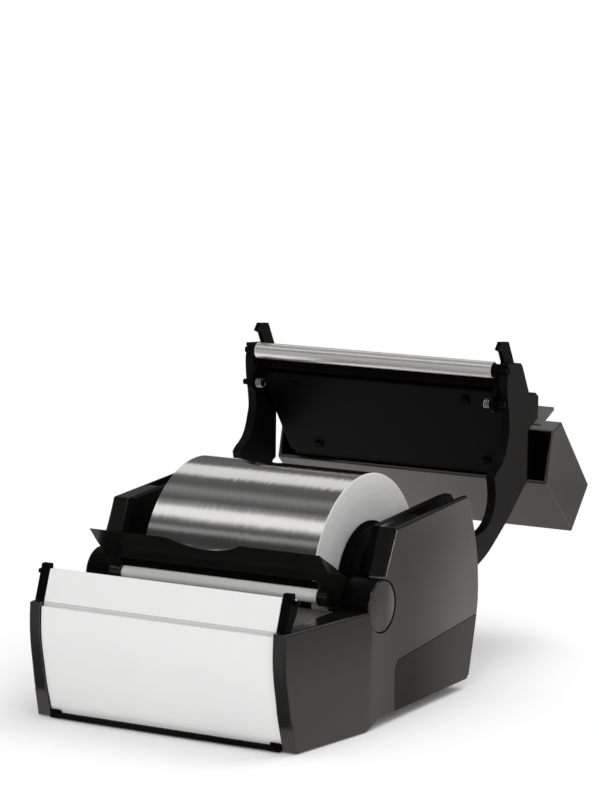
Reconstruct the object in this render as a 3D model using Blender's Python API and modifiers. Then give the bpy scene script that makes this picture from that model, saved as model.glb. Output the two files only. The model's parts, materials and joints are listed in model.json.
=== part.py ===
"""Counter-top dispenser for rolls of foil, modelled with its head swung open.

Lengths are in metres. Seen from the front, +X is to the right, +Y runs to the back and +Z is up.
Every piece is drawn in one design frame: Y = 0 at the front panel, Z = 0 on the counter, the head in
its closed place. The head is then swung open about its hinge, and the whole part is moved so that
the origin lies under the middle of what it covers.
"""

import math

import bmesh
import bpy
from mathutils import Euler, Matrix, Vector

# Overall body
DEPTH = 0.176
HEIGHT = 0.101
REAR_HALF_WIDTH = 0.0835
FLARE = 0.0098
FLARE_DEPTH_SHARE = 0.36705
CHEEK_HEIGHT_SHARE = 0.59406
CHEEK_SHELL = 0.0165
TOWER_SHELL = 0.0137
WALL = 0.0022
GAP = 0.0003
OVERRUN = 0.010
GROUND_CLEARANCE = 0.0005
REAR_CLEARANCE = 0.0050
STEP_START_SHARE = 0.339
STEP_END_SHARE = 0.400

# Side outline, as shares of CHEEK_HEIGHT (front) or of DEPTH and HEIGHT (tower)
FRONT_CURVE_SHARES = ((-0.025, 1.0), (-0.038, 0.807), (-0.027, 0.643), (0.004, 0.475),
                      (0.035, 0.307), (0.083, 0.135), (0.120, 0.010))
TOWER_FRONT_SHARES = ((0.375, 0.590), (0.448, 0.737), (0.504, 0.961))
TOWER_REAR_SHARES = ((0.530, 0.963), (0.886, 1.0), (0.930, 1.0), (0.947, 0.972), (0.962, 0.891),
                     (0.982, 0.756), (0.996, 0.638), (1.0, 0.520), (0.9985, 0.440), (0.991, 0.372))
SEAM_SHARES = ((0.514, 0.301), (0.497, 0.255))
SKIRT_REAR_SHARES = ((0.945, 0.072), (0.930, 0.052))

# Tower wall, head slot and hinge
TOWER_WALL = 0.0038
SLOT_SHARES = (0.66477, 0.55941)
HINGE_SHARES = (0.75568, 0.72772)
HINGE_PIN_RADIUS = 0.0030
HINGE_PIN_HEAD_RADIUS = 0.0052
HINGE_PIN_HEAD = 0.0018
PIN_CLEARANCE = 0.0003
PIN_SOCKET = 0.0012
OPEN_ANGLE = math.radians(132.0)

# Front panel, lip and deck
PANEL_SETBACK = 0.0011
PANEL_TOP_DROP = 0.0020
PANEL_THICKNESS = 0.0022
PANEL_FOOT = 0.0030
LIP_FOOT_Y = 0.0015
LIP_TOP_Y = 0.0072
LIP_FOOT_DROP = 0.0001
LIP_RISE = 0.0156
LIP_THICKNESS = 0.0022
PLATEN_DROP = 0.0032
PLATEN_BACK = 0.0215
LIP_END_DEPTH = 0.0052
LIP_END_NUB = 0.0027
LIP_END_RISE = 0.0021
DECK_DROP = 0.0005
DECK_FRONT = 0.0052
DECK_BACK_SHARE = 0.31932
DECK_THICKNESS = 0.0022
CATCH_RADIUS = 0.0012
CATCH_SETBACK = 0.0026
CATCH_DROP = 0.0022

# Floor pan and feet
PAN_THICKNESS = 0.0020
PAN_FRONT_Y = 0.0092
FRONT_PAD_RADIUS = 0.0060
FRONT_PAD_HEIGHT = 0.0015
FRONT_PAD_SHARE = 0.14773
REAR_FOOT_RADIUS = 0.0070
REAR_FOOT_SHARE = 0.85227
FOOT_SPACING_SHARE = 0.59880
REAR_WALL_SHARE = 0.49505

# Foil roll and its hubs
FOIL_WIDTH_SHARE = 1.19760
FOIL_RADIUS_SHARE = 0.30682
CORE_RADIUS = 0.0290
CORE_WALL = 0.0026
ROLL_SHARE = 0.66761
ROLL_CLEARANCE = 0.0085
HUB_FLANGE_RADIUS = 0.0300
HUB_FLANGE = 0.0025
HUB_DRUM_RADIUS = 0.0275
HUB_REACH = 0.0110
HUB_PLUG = 0.0120
HUB_BORE_RADIUS = 0.0070
HUB_DISH = 0.0050
HUB_DISH_RADIUS = 0.0215
HUB_LIP = 0.0022
CRADLE_THICKNESS = 0.0055
CRADLE_CLEARANCE = 0.0004
CRADLE_WALL = 0.0055

# Foil guide
HUB_SHARE = 0.42614
HUB_RAISE = 0.0003
GUIDE_HUB_RADIUS = 0.0130
GUIDE_TIP_SHARE = 0.23864
GUIDE_RISE = 0.0295
GUIDE_CURVE_SHARES = ((0.0, 1.0), (0.20, 0.74), (0.35, 0.55), (0.56, 0.13), (0.59, 0.0))
GUIDE_THICKNESS = 0.0024
GUIDE_BRACKET = 0.0094
GUIDE_SHEET_FOOT_SHARE = 0.30
GUIDE_ARM_RADIUS = 0.0085
NOTCH_HALF_WIDTH = 0.0215
NOTCH_DEPTH = 0.0050
ROD_SHARE = 0.33523
ROD_RAISE = 0.0050
ROD_RADIUS = 0.0034
ROD_AXLE_RADIUS = 0.0016
ROD_AXLE = 0.0050

# Head, drawn closed: outlines are shares of DEPTH and HEAD_TOP
HEAD_TOP_SHARE = 1.93069
ARM_THICKNESS = 0.0050
ARM_BOSS_RADIUS = 0.0085
SPACER_RADIUS = 0.0030
SPACER_SHARES = ((0.10795, 0.51282), (0.12500, 0.58462))
ARM_FRONT_SHARES = ((0.071, 0.385), (0.018, 0.449), (0.060, 0.551), (0.054, 0.564), (0.031, 0.574),
                    (0.028, 0.595), (0.046, 0.610), (0.080, 0.633), (0.145, 0.607))
ARM_OUTER_SHARES = ((0.265, 0.700), (0.277, 0.694), (0.400, 0.676), (0.474, 0.658), (0.546, 0.639),
                    (0.584, 0.625), (0.622, 0.606), (0.662, 0.582), (0.700, 0.552), (0.730, 0.524),
                    (0.755, 0.494), (0.785, 0.450))
ARM_INNER_SHARES = ((0.700, 0.450), (0.697, 0.472), (0.691, 0.490), (0.680, 0.507), (0.645, 0.520),
                    (0.602, 0.5335), (0.576, 0.541), (0.554, 0.552), (0.532, 0.570), (0.508, 0.5825),
                    (0.479, 0.590), (0.448, 0.588), (0.424, 0.579), (0.404, 0.566), (0.388, 0.549),
                    (0.372, 0.528), (0.352, 0.530), (0.330, 0.537), (0.308, 0.5415), (0.285, 0.540),
                    (0.261, 0.534), (0.210, 0.514), (0.180, 0.483), (0.152, 0.448), (0.121, 0.418))
HOOD_SHARES = ((0.0165, 0.733), (0.054, 1.0), (0.227, 1.0), (0.2165, 0.772), (0.077, 0.705))
HOOD_WALL = 0.0020
FRAME_SHARES = ((0.120, 0.430), (0.2023, 0.758), (0.2023, 0.985), (0.085, 0.985), (0.085, 0.640),
                (0.078, 0.560), (0.084, 0.433))
FRAME_WALL = 0.0022
COVER_THICKNESS = 0.0018
COVER_FOOT_SHARE = 0.04
COVER_HEAD_SHARE = 0.93
SCREW_RADIUS = 0.0026
SCREW_HEAD = 0.0012
SCREW_SPACING_SHARE = 0.62275
SCREW_RISE_SHARES = (0.16, 0.84)
ROLLER_SHARES = (0.089205, 0.395385)
ROLLER_RADIUS = 0.0044
ROLLER_AXLE_RADIUS = 0.0018
LATCH_SHARES = (0.171023, 0.446667)
LATCH_THICKNESS = 0.0024
LATCH_PIN_RADIUS = 0.0016
LATCH_PIN_REACH = 0.00475
LATCH_EYE_RADIUS = 0.0046
HOOK_SHARES = ((0.153, 0.424), (0.068, 0.4215), (0.049, 0.408), (0.0365, 0.378), (0.0455, 0.357),
               (0.0165, 0.356), (-0.012, 0.392), (0.013, 0.454), (0.045, 0.479), (0.150, 0.470))
SPRING_WIRE_RADIUS = 0.00040
SPRING_RADIUS = 0.00265
SPRING_CURLS = 3
SPRING_CURL_POINTS = 10
SPRING_PITCH = 0.00130
BLADE_END_GAP = 0.00195
BLADE_THICKNESS = 0.0008
BLADE_HEIGHT = 0.0170
BLADE_TEETH = 40
BLADE_TOOTH = 0.0022
CLAMP_THICKNESS = 0.0016
CLAMP_HEIGHT = 0.0080
FIN_SHARES = ((-0.0075, 0.6945), (0.0833, 0.6572), (0.0833, 0.6682), (-0.0040, 0.7045))

# How finely round things are drawn
ROUND_SEGMENTS = 32
HUB_SEGMENTS = 48
CATCH_SEGMENTS = 16
ROLL_SEGMENTS = 72
ARC_SEGMENTS = 10
CURVE_STEPS = 3
MERGE_DISTANCE = 0.000001

# Places worked out from the sizes above
FRONT_HALF_WIDTH = REAR_HALF_WIDTH - FLARE
CHEEK_INNER_HALF = REAR_HALF_WIDTH - CHEEK_SHELL
TOWER_INNER_HALF = REAR_HALF_WIDTH - TOWER_SHELL
FOIL_WIDTH = FOIL_WIDTH_SHARE * REAR_HALF_WIDTH
FOOT_HALF_SPACING = FOOT_SPACING_SHARE * REAR_HALF_WIDTH
SCREW_HALF_SPACING = SCREW_SPACING_SHARE * REAR_HALF_WIDTH
CHEEK_HEIGHT = CHEEK_HEIGHT_SHARE * HEIGHT
HEAD_TOP = HEAD_TOP_SHARE * HEIGHT
REAR_WALL_TOP = REAR_WALL_SHARE * HEIGHT
LIP_FOOT_Z = CHEEK_HEIGHT - LIP_FOOT_DROP
LIP_TOP_Z = LIP_FOOT_Z + LIP_RISE
PLATEN_Z = LIP_TOP_Z - PLATEN_DROP
CATCH_Y = LIP_TOP_Y + CATCH_SETBACK
CATCH_Z = LIP_TOP_Z - CATCH_DROP
DECK_TOP = CHEEK_HEIGHT - DECK_DROP
DECK_BACK = DECK_BACK_SHARE * DEPTH
FLARE_DEPTH = FLARE_DEPTH_SHARE * DEPTH
FRONT_PAD_Y = FRONT_PAD_SHARE * DEPTH
REAR_FOOT_Y = REAR_FOOT_SHARE * DEPTH
SLOT_FRONT = SLOT_SHARES[0] * DEPTH
SLOT_FLOOR = SLOT_SHARES[1] * HEIGHT
HINGE_Y = HINGE_SHARES[0] * DEPTH
HINGE_Z = HINGE_SHARES[1] * HEIGHT
FOIL_RADIUS = FOIL_RADIUS_SHARE * DEPTH
ROLL_Y = ROLL_SHARE * DEPTH
ROLL_Z = FOIL_RADIUS + ROLL_CLEARANCE
HUB_Y = HUB_SHARE * DEPTH
HUB_Z = CHEEK_HEIGHT + HUB_RAISE
GUIDE_TIP_Y = GUIDE_TIP_SHARE * DEPTH
GUIDE_TIP_Z = HUB_Z + GUIDE_RISE
ROD_Y = ROD_SHARE * DEPTH
ROD_Z = HUB_Z + ROD_RAISE
ROLLER_Y = ROLLER_SHARES[0] * DEPTH
ROLLER_Z = ROLLER_SHARES[1] * HEAD_TOP
LATCH_Y = LATCH_SHARES[0] * DEPTH
LATCH_Z = LATCH_SHARES[1] * HEAD_TOP
CASING_REAR_INNER = TOWER_INNER_HALF + TOWER_WALL + GAP
SLOT_OUTER_HALF = REAR_HALF_WIDTH - WALL
ARM_MIDDLE = (TOWER_INNER_HALF + TOWER_WALL + SLOT_OUTER_HALF) / 2
ARM_INNER = ARM_MIDDLE - ARM_THICKNESS / 2
ARM_OUTER = ARM_MIDDLE + ARM_THICKNESS / 2
HOOK_OUTER = ARM_INNER - GAP
HOOK_INNER = HOOK_OUTER - LATCH_THICKNESS
FRAME_HALF = HOOK_INNER - GAP
BLADE_HALF = FRAME_HALF - BLADE_END_GAP
LATCH_PIN_INNER_HALF = FRAME_HALF - LATCH_PIN_REACH
PANEL_HALF = CHEEK_INNER_HALF - GAP
HUB_ORIGIN_X = FOIL_WIDTH / 2
CRADLE_INNER_X = HUB_ORIGIN_X + GAP + HUB_FLANGE + CRADLE_CLEARANCE
PAN_REAR_TOP = REAR_CLEARANCE + PAN_THICKNESS
SIDES = (("right", 1), ("left", -1))


def clear_scene():
    """Remove whatever the scene holds, so that the script starts from nothing."""
    for thing in list(bpy.data.objects):
        bpy.data.objects.remove(thing, do_unlink=True)


def make_collection(name):
    """A new collection under the scene."""
    group = bpy.data.collections.new(name)
    bpy.context.scene.collection.children.link(group)
    return group


def make_material(name, color, roughness, metallic=0.0):
    """A Principled material of one colour."""
    material = bpy.data.materials.new(name)
    material.use_nodes = True
    shader = material.node_tree.nodes["Principled BSDF"]
    shader.inputs["Base Color"].default_value = (*color, 1.0)
    shader.inputs["Roughness"].default_value = roughness
    shader.inputs["Metallic"].default_value = metallic
    return material


clear_scene()
PARTS = make_collection("foil_dispenser")
CUTTERS = make_collection("foil_dispenser_cutters")
MATERIALS = {
    "casing": make_material("casing_gloss_plastic", (0.060, 0.055, 0.053), 0.28),
    "black": make_material("black_plastic", (0.012, 0.012, 0.012), 0.42),
    "panel": make_material("white_satin_panel", (0.800, 0.800, 0.790), 0.40),
    "steel": make_material("satin_steel", (0.620, 0.620, 0.610), 0.28, 1.0),
    "foil": make_material("aluminium_foil", (0.780, 0.775, 0.765), 0.16, 1.0),
    "core": make_material("grey_card_core", (0.330, 0.325, 0.315), 0.80),
    "rubber": make_material("foot_rubber", (0.025, 0.025, 0.025), 0.85),
}
PIVOTS = {}


def make_pivot(name, y, z, parent=None, angle=0.0):
    """An empty on a joint's axis, placed in the design frame under its parent."""
    empty = bpy.data.objects.new(name, None)
    PARTS.objects.link(empty)
    place = Vector((0.0, y, z))
    if parent:
        empty.parent = PIVOTS[parent][0]
        empty.location = place - PIVOTS[parent][1]
    else:
        empty.location = place
    empty.rotation_euler = (angle, 0.0, 0.0)
    PIVOTS[name] = (empty, place)


def adopt(thing, pivot, material=None):
    """File an object drawn in the design frame under a pivot, as a part or as a cutter."""
    empty, place = PIVOTS[pivot]
    thing.parent = empty
    thing.location = thing.location - place
    if material:
        thing.data.materials.append(MATERIALS[material])
        PARTS.objects.link(thing)
    else:
        thing.hide_render = True
        thing.display_type = "WIRE"
        CUTTERS.objects.link(thing)
    return thing


def tidy_mesh(mesh):
    """Weld a mesh's loose seams and turn its faces outwards."""
    work = bmesh.new()
    work.from_mesh(mesh)
    bmesh.ops.remove_doubles(work, verts=work.verts, dist=MERGE_DISTANCE)
    bmesh.ops.recalc_face_normals(work, faces=work.faces)
    work.to_mesh(mesh)
    work.free()


def smooth(thing, angle=math.radians(35.0)):
    """Shade a round piece smooth and keep its sharp edges."""
    thing.data.shade_smooth()
    thing.data.set_sharp_from_angle(angle=angle)
    return thing


def arc(center, radius, start, end, segments=ARC_SEGMENTS):
    """Points along a circle, from one angle to another, in degrees."""
    turn = math.radians(end - start) / segments
    first = math.radians(start)
    return [(center[0] + radius * math.cos(first + turn * step),
             center[1] + radius * math.sin(first + turn * step)) for step in range(segments + 1)]


def curve_through(points, steps=CURVE_STEPS):
    """A finer line through points, rounded between them (Catmull-Rom), with the same two ends."""
    ends = [points[0]] + list(points) + [points[-1]]
    line = []
    for first, start, end, last in zip(ends, ends[1:], ends[2:], ends[3:]):
        for step in range(steps):
            t = step / steps
            line.append(tuple(
                (2 * b + (c - a) * t + (2 * a - 5 * b + 4 * c - d) * t ** 2
                 + (3 * b - a - 3 * c + d) * t ** 3) / 2 for a, b, c, d in zip(first, start, end, last)))
    line.append(tuple(points[-1]))
    return line


def scaled(shares, length, height):
    """Outline points from shares of a length and a height."""
    return [(share_y * length, share_z * height) for share_y, share_z in shares]


def offset_line(points, distance):
    """Points of an open line moved sideways to its right by a distance."""
    moved = []
    for index, (y, z) in enumerate(points):
        before = points[max(index - 1, 0)]
        after = points[min(index + 1, len(points) - 1)]
        length = math.hypot(after[0] - before[0], after[1] - before[1])
        moved.append((y + (after[1] - before[1]) / length * distance,
                      z - (after[0] - before[0]) / length * distance))
    return moved


def slab(name, outline, low_x, high_x):
    """A flat outline in the YZ plane, filled and extruded between two X places."""
    curve = bpy.data.curves.new(name, "CURVE")
    curve.dimensions = "2D"
    curve.fill_mode = "BOTH"
    curve.extrude = (high_x - low_x) / 2
    spline = curve.splines.new("POLY")
    spline.points.add(len(outline) - 1)
    for point, (y, z) in zip(spline.points, outline):
        point.co = (y, z, 0.0, 1.0)
    spline.use_cyclic_u = True
    holder = bpy.data.objects.new(name, curve)
    bpy.context.scene.collection.objects.link(holder)
    evaluated = holder.evaluated_get(bpy.context.evaluated_depsgraph_get())
    mesh = bpy.data.meshes.new_from_object(evaluated)
    turn = Euler((math.pi / 2, 0.0, math.pi / 2)).to_matrix().to_4x4()
    mesh.transform(Matrix.Translation(((low_x + high_x) / 2, 0.0, 0.0)) @ turn)
    bpy.data.objects.remove(holder, do_unlink=True)
    tidy_mesh(mesh)
    return bpy.data.objects.new(name, mesh)


def side_slab(name, outline, inner_x, outer_x, side):
    """A slab between two half-widths, on the right (1) or the left (-1)."""
    return slab(name, outline, min(inner_x * side, outer_x * side), max(inner_x * side, outer_x * side))


def block(name, low, high):
    """A box between two corners."""
    work = bmesh.new()
    bmesh.ops.create_cube(work, size=1.0)
    size = Vector(high) - Vector(low)
    middle = (Vector(high) + Vector(low)) / 2
    bmesh.ops.transform(work, matrix=Matrix.Translation(middle) @ Matrix.Diagonal((*size, 1.0)),
                        verts=work.verts)
    mesh = bpy.data.meshes.new(name)
    work.to_mesh(mesh)
    work.free()
    return bpy.data.objects.new(name, mesh)


def rod(name, radius, low_x, high_x, y, z, segments=ROUND_SEGMENTS):
    """A cylinder along X, with its origin on its axis."""
    work = bmesh.new()
    bmesh.ops.create_cone(work, cap_ends=True, segments=segments, radius1=radius, radius2=radius,
                          depth=high_x - low_x)
    turn = Matrix.Rotation(math.pi / 2, 4, "Y")
    bmesh.ops.transform(work, matrix=Matrix.Translation(((low_x + high_x) / 2, 0.0, 0.0)) @ turn,
                        verts=work.verts)
    mesh = bpy.data.meshes.new(name)
    work.to_mesh(mesh)
    work.free()
    thing = bpy.data.objects.new(name, mesh)
    thing.location = (0.0, y, z)
    return smooth(thing)


def side_rod(name, radius, inner_x, outer_x, y, z, side, segments=ROUND_SEGMENTS):
    """A cylinder along X between two half-widths, on one side."""
    low_x = min(inner_x * side, outer_x * side)
    high_x = max(inner_x * side, outer_x * side)
    return rod(name, radius, low_x, high_x, y, z, segments)


def turned(name, profile, y, z, segments, closed=False):
    """A piece turned about X from (place along X, radius) points, by a Screw modifier."""
    mesh = bpy.data.meshes.new(name)
    following = profile[1:] + profile[:1]
    area = sum(here[0] * after[1] - after[0] * here[1] for here, after in zip(profile, following))
    if area < 0.0:
        profile = profile[::-1]
    corners = [(radius, 0.0, along) for along, radius in profile]
    edges = [(index, index + 1) for index in range(len(corners) - 1)]
    if closed:
        edges.append((len(corners) - 1, 0))
    mesh.from_pydata(corners, edges, [])
    thing = bpy.data.objects.new(name, mesh)
    thing.rotation_euler = (0.0, math.pi / 2, 0.0)
    thing.location = (0.0, y, z)
    screw = thing.modifiers.new("turned", "SCREW")
    screw.axis = "Z"
    screw.steps = segments
    screw.render_steps = segments
    screw.use_merge_vertices = True
    screw.merge_threshold = MERGE_DISTANCE
    screw.use_smooth_shade = False
    return thing


def shape_with(target, tool, operation="DIFFERENCE"):
    """Cut a tool out of a target, or join or intersect the two."""
    change = target.modifiers.new(tool.name, "BOOLEAN")
    change.operation = operation
    change.object = tool
    change.solver = "EXACT"


def flare_front(thing, side):
    """Draw the outer face of a side piece in towards the front, where the body narrows."""
    work = bmesh.new()
    work.from_mesh(thing.data)
    bmesh.ops.bisect_plane(work, geom=work.verts[:] + work.edges[:] + work.faces[:],
                           dist=MERGE_DISTANCE, plane_co=(0.0, FLARE_DEPTH, 0.0),
                           plane_no=(0.0, 1.0, 0.0))
    taper = (REAR_HALF_WIDTH - FRONT_HALF_WIDTH) / FLARE_DEPTH
    for vertex in work.verts:
        if abs(vertex.co.x) > REAR_HALF_WIDTH - MERGE_DISTANCE:
            inset = taper * max(FLARE_DEPTH - vertex.co.y, 0.0)
            vertex.co.x = side * (REAR_HALF_WIDTH - inset)
    bmesh.ops.triangulate(work, faces=work.faces)
    bmesh.ops.recalc_face_normals(work, faces=work.faces)
    work.to_mesh(thing.data)
    work.free()


def front_curve():
    """The bowed front edge of the body, from its top to its foot."""
    return curve_through(scaled(FRONT_CURVE_SHARES, CHEEK_HEIGHT, CHEEK_HEIGHT))


def seam_line(lower=0.0):
    """The seam between a side casing and the rear skirt, from the back to the front."""
    back = (TOWER_REAR_SHARES[-1][0] * DEPTH, TOWER_REAR_SHARES[-1][1] * HEIGHT)
    return [(y, z - lower) for y, z in [back] + scaled(SEAM_SHARES, DEPTH, HEIGHT)]


def build_side_casings():
    """The two outer shells, each with a low front cheek, a tower and the slot for a head arm."""
    step = [(STEP_START_SHARE * DEPTH, GROUND_CLEARANCE), (STEP_END_SHARE * DEPTH, REAR_CLEARANCE)]
    seam = seam_line()
    skirt_front = (seam[-1][0], REAR_CLEARANCE)
    outline = (front_curve() + step + [skirt_front] + seam[::-1]
               + scaled(TOWER_REAR_SHARES[::-1][1:], DEPTH, HEIGHT)
               + scaled(TOWER_FRONT_SHARES[::-1], DEPTH, HEIGHT))
    slot_outline = [(SLOT_FRONT, SLOT_FLOOR), (DEPTH + OVERRUN, SLOT_FLOOR),
                    (DEPTH + OVERRUN, HEIGHT + OVERRUN), (SLOT_FRONT, HEIGHT + OVERRUN)]
    lower_low = (seam[-1][0] + WALL, seam[1][1] + WALL)
    lower_high = (DEPTH - 3 * WALL, SLOT_FLOOR - WALL)
    upper_low = (TOWER_FRONT_SHARES[-1][0] * DEPTH + WALL, SLOT_FLOOR - WALL)
    upper_high = (SLOT_FRONT - WALL, TOWER_FRONT_SHARES[-1][1] * HEIGHT - 2 * WALL)
    for word, side in SIDES:
        casing = side_slab(f"side_casing_{word}", outline, CHEEK_INNER_HALF, REAR_HALF_WIDTH, side)
        flare_front(casing, side)
        adopt(casing, "body", "casing")
        trim = block(f"casing_trim_{word}",
                     (min(0.0, side * CASING_REAR_INNER), HUB_Y, -OVERRUN),
                     (max(0.0, side * CASING_REAR_INNER), DEPTH + OVERRUN, HEIGHT + OVERRUN))
        shape_with(casing, adopt(trim, "body"))
        inside = min(CASING_REAR_INNER - OVERRUN, CHEEK_INNER_HALF - OVERRUN)
        slot = side_slab(f"casing_slot_{word}", slot_outline, inside, SLOT_OUTER_HALF, side)
        shape_with(casing, adopt(slot, "body"))
        for label, low, high in (("lower", lower_low, lower_high), ("upper", upper_low, upper_high)):
            corners = [low, (high[0], low[1]), high, (low[0], high[1])]
            pocket = side_slab(f"casing_{label}_pocket_{word}", corners, inside, SLOT_OUTER_HALF, side)
            shape_with(casing, adopt(pocket, "body"))
        cup = side_rod(f"casing_cup_{word}", GUIDE_HUB_RADIUS + GAP, CHEEK_INNER_HALF - OVERRUN,
                       REAR_HALF_WIDTH + OVERRUN, HUB_Y, HUB_Z, side, HUB_SEGMENTS)
        shape_with(casing, adopt(cup, "body"))
        socket = side_rod(f"casing_pin_socket_{word}", HINGE_PIN_RADIUS + PIN_CLEARANCE,
                          SLOT_OUTER_HALF - OVERRUN, SLOT_OUTER_HALF + PIN_SOCKET,
                          HINGE_Y, HINGE_Z, side)
        shape_with(casing, adopt(socket, "body"))


def build_tower_walls():
    """The inner wall of each tower, which closes the roll's bay and carries a hinge pin."""
    rear = scaled(TOWER_REAR_SHARES, DEPTH, HEIGHT)
    front = scaled(TOWER_FRONT_SHARES[1:], DEPTH, HEIGHT)
    foot_y = HUB_Y + GUIDE_HUB_RADIUS + 2 * GAP
    inset = WALL + 2 * GAP
    back_foot = (SKIRT_REAR_SHARES[0][0] * DEPTH - inset, PAN_REAR_TOP + GAP)
    rear_inset = [(rear[-1][0] - inset, rear[-1][1])]
    outline = ([(foot_y, PAN_REAR_TOP + GAP), (foot_y, front[0][1]), front[0], front[1]]
               + rear + rear_inset + [back_foot])
    for word, side in SIDES:
        wall = side_slab(f"tower_wall_{word}", outline, TOWER_INNER_HALF,
                         TOWER_INNER_HALF + TOWER_WALL, side)
        adopt(wall, "body", "black")
        bore = side_rod(f"tower_bore_{word}", HINGE_PIN_RADIUS + PIN_CLEARANCE,
                        TOWER_INNER_HALF - OVERRUN, TOWER_INNER_HALF + TOWER_WALL + OVERRUN,
                        HINGE_Y, HINGE_Z, side)
        shape_with(wall, adopt(bore, "body"))
        head_start = TOWER_INNER_HALF - GAP - HINGE_PIN_HEAD
        pin_end = SLOT_OUTER_HALF + PIN_SOCKET - GAP
        profile = [(head_start, 0.0), (head_start, HINGE_PIN_HEAD_RADIUS),
                   (head_start + HINGE_PIN_HEAD, HINGE_PIN_HEAD_RADIUS),
                   (head_start + HINGE_PIN_HEAD, HINGE_PIN_RADIUS), (pin_end, HINGE_PIN_RADIUS),
                   (pin_end, 0.0)]
        pin = turned(f"head_hinge_pin_{word}", [(side * along, radius) for along, radius in profile],
                     HINGE_Y, HINGE_Z, ROUND_SEGMENTS)
        adopt(pin, "body", "steel")


def build_rear():
    """The low wall behind the roll and the skirt that wraps the lower back of the body."""
    rear = scaled(TOWER_REAR_SHARES, DEPTH, HEIGHT)
    top_y = max(y for y, z in rear)
    seam_y = rear[-1][0]
    seam_z = rear[-1][1]
    wall_outline = [(top_y, REAR_WALL_TOP), (seam_y, seam_z + GAP), (seam_y - WALL - GAP, seam_z + GAP),
                    (seam_y - 3 * WALL, seam_z - 4 * WALL), (seam_y - 4 * WALL, seam_z - 4 * WALL),
                    (seam_y - 2 * WALL - GAP, seam_z + WALL), (top_y - WALL, REAR_WALL_TOP)]
    half = TOWER_INNER_HALF - GAP
    adopt(slab("rear_wall", wall_outline, -half, half), "body", "casing")
    seam = seam_line(GAP)
    skirt_foot = scaled(SKIRT_REAR_SHARES, DEPTH, HEIGHT)
    outline = seam + [(seam[-1][0], REAR_CLEARANCE)] + skirt_foot[::-1]
    front = seam[-1][0] + GAP
    outline = [(max(y, front), z) for y, z in outline]
    skirt = adopt(slab("rear_skirt", outline, -REAR_HALF_WIDTH, REAR_HALF_WIDTH), "body", "casing")
    hollow = [(front - OVERRUN, -OVERRUN), (skirt_foot[1][0] - WALL, -OVERRUN),
              (skirt_foot[0][0] - WALL, skirt_foot[0][1]), (seam_y - WALL, seam_z),
              (seam_y - WALL, HEIGHT), (front - OVERRUN, HEIGHT)]
    inner = slab("skirt_hollow", hollow, -SLOT_OUTER_HALF, SLOT_OUTER_HALF)
    shape_with(skirt, adopt(inner, "body"))


def build_pan():
    """The floor pan with its front edge low on the counter, and the four feet."""
    low = GROUND_CLEARANCE
    start = STEP_START_SHARE * DEPTH
    end = STEP_END_SHARE * DEPTH
    rear_end = SKIRT_REAR_SHARES[1][0] * DEPTH - WALL - GAP
    outline = [(PAN_FRONT_Y, low), (start, low), (end, REAR_CLEARANCE), (rear_end, REAR_CLEARANCE),
               (rear_end, PAN_REAR_TOP), (end - GAP, PAN_REAR_TOP), (start, low + PAN_THICKNESS),
               (PAN_FRONT_Y, low + PAN_THICKNESS)]
    pan = adopt(slab("base_pan", outline, -PANEL_HALF, PANEL_HALF), "body", "black")
    for word, side in SIDES:
        x = side * FOOT_HALF_SPACING
        recess_top = FRONT_PAD_HEIGHT + GAP
        recess = pad("pan_recess_" + word, FRONT_PAD_RADIUS + GAP, x, FRONT_PAD_Y, -OVERRUN, recess_top)
        shape_with(pan, adopt(recess, "body"))
        front = pad("foot_front_" + word, FRONT_PAD_RADIUS, x, FRONT_PAD_Y, 0.0, FRONT_PAD_HEIGHT)
        adopt(front, "body", "rubber")
        rear = pad("foot_rear_" + word, REAR_FOOT_RADIUS, x, REAR_FOOT_Y, 0.0, REAR_CLEARANCE - GAP)
        adopt(rear, "body", "rubber")


def pad(name, radius, x, y, low, high, segments=ROUND_SEGMENTS):
    """An upright round pad."""
    work = bmesh.new()
    bmesh.ops.create_cone(work, cap_ends=True, segments=segments, radius1=radius,
                          radius2=radius, depth=high - low)
    mesh = bpy.data.meshes.new(name)
    work.to_mesh(mesh)
    work.free()
    thing = bpy.data.objects.new(name, mesh)
    thing.location = (x, y, (low + high) / 2)
    return smooth(thing)


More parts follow.
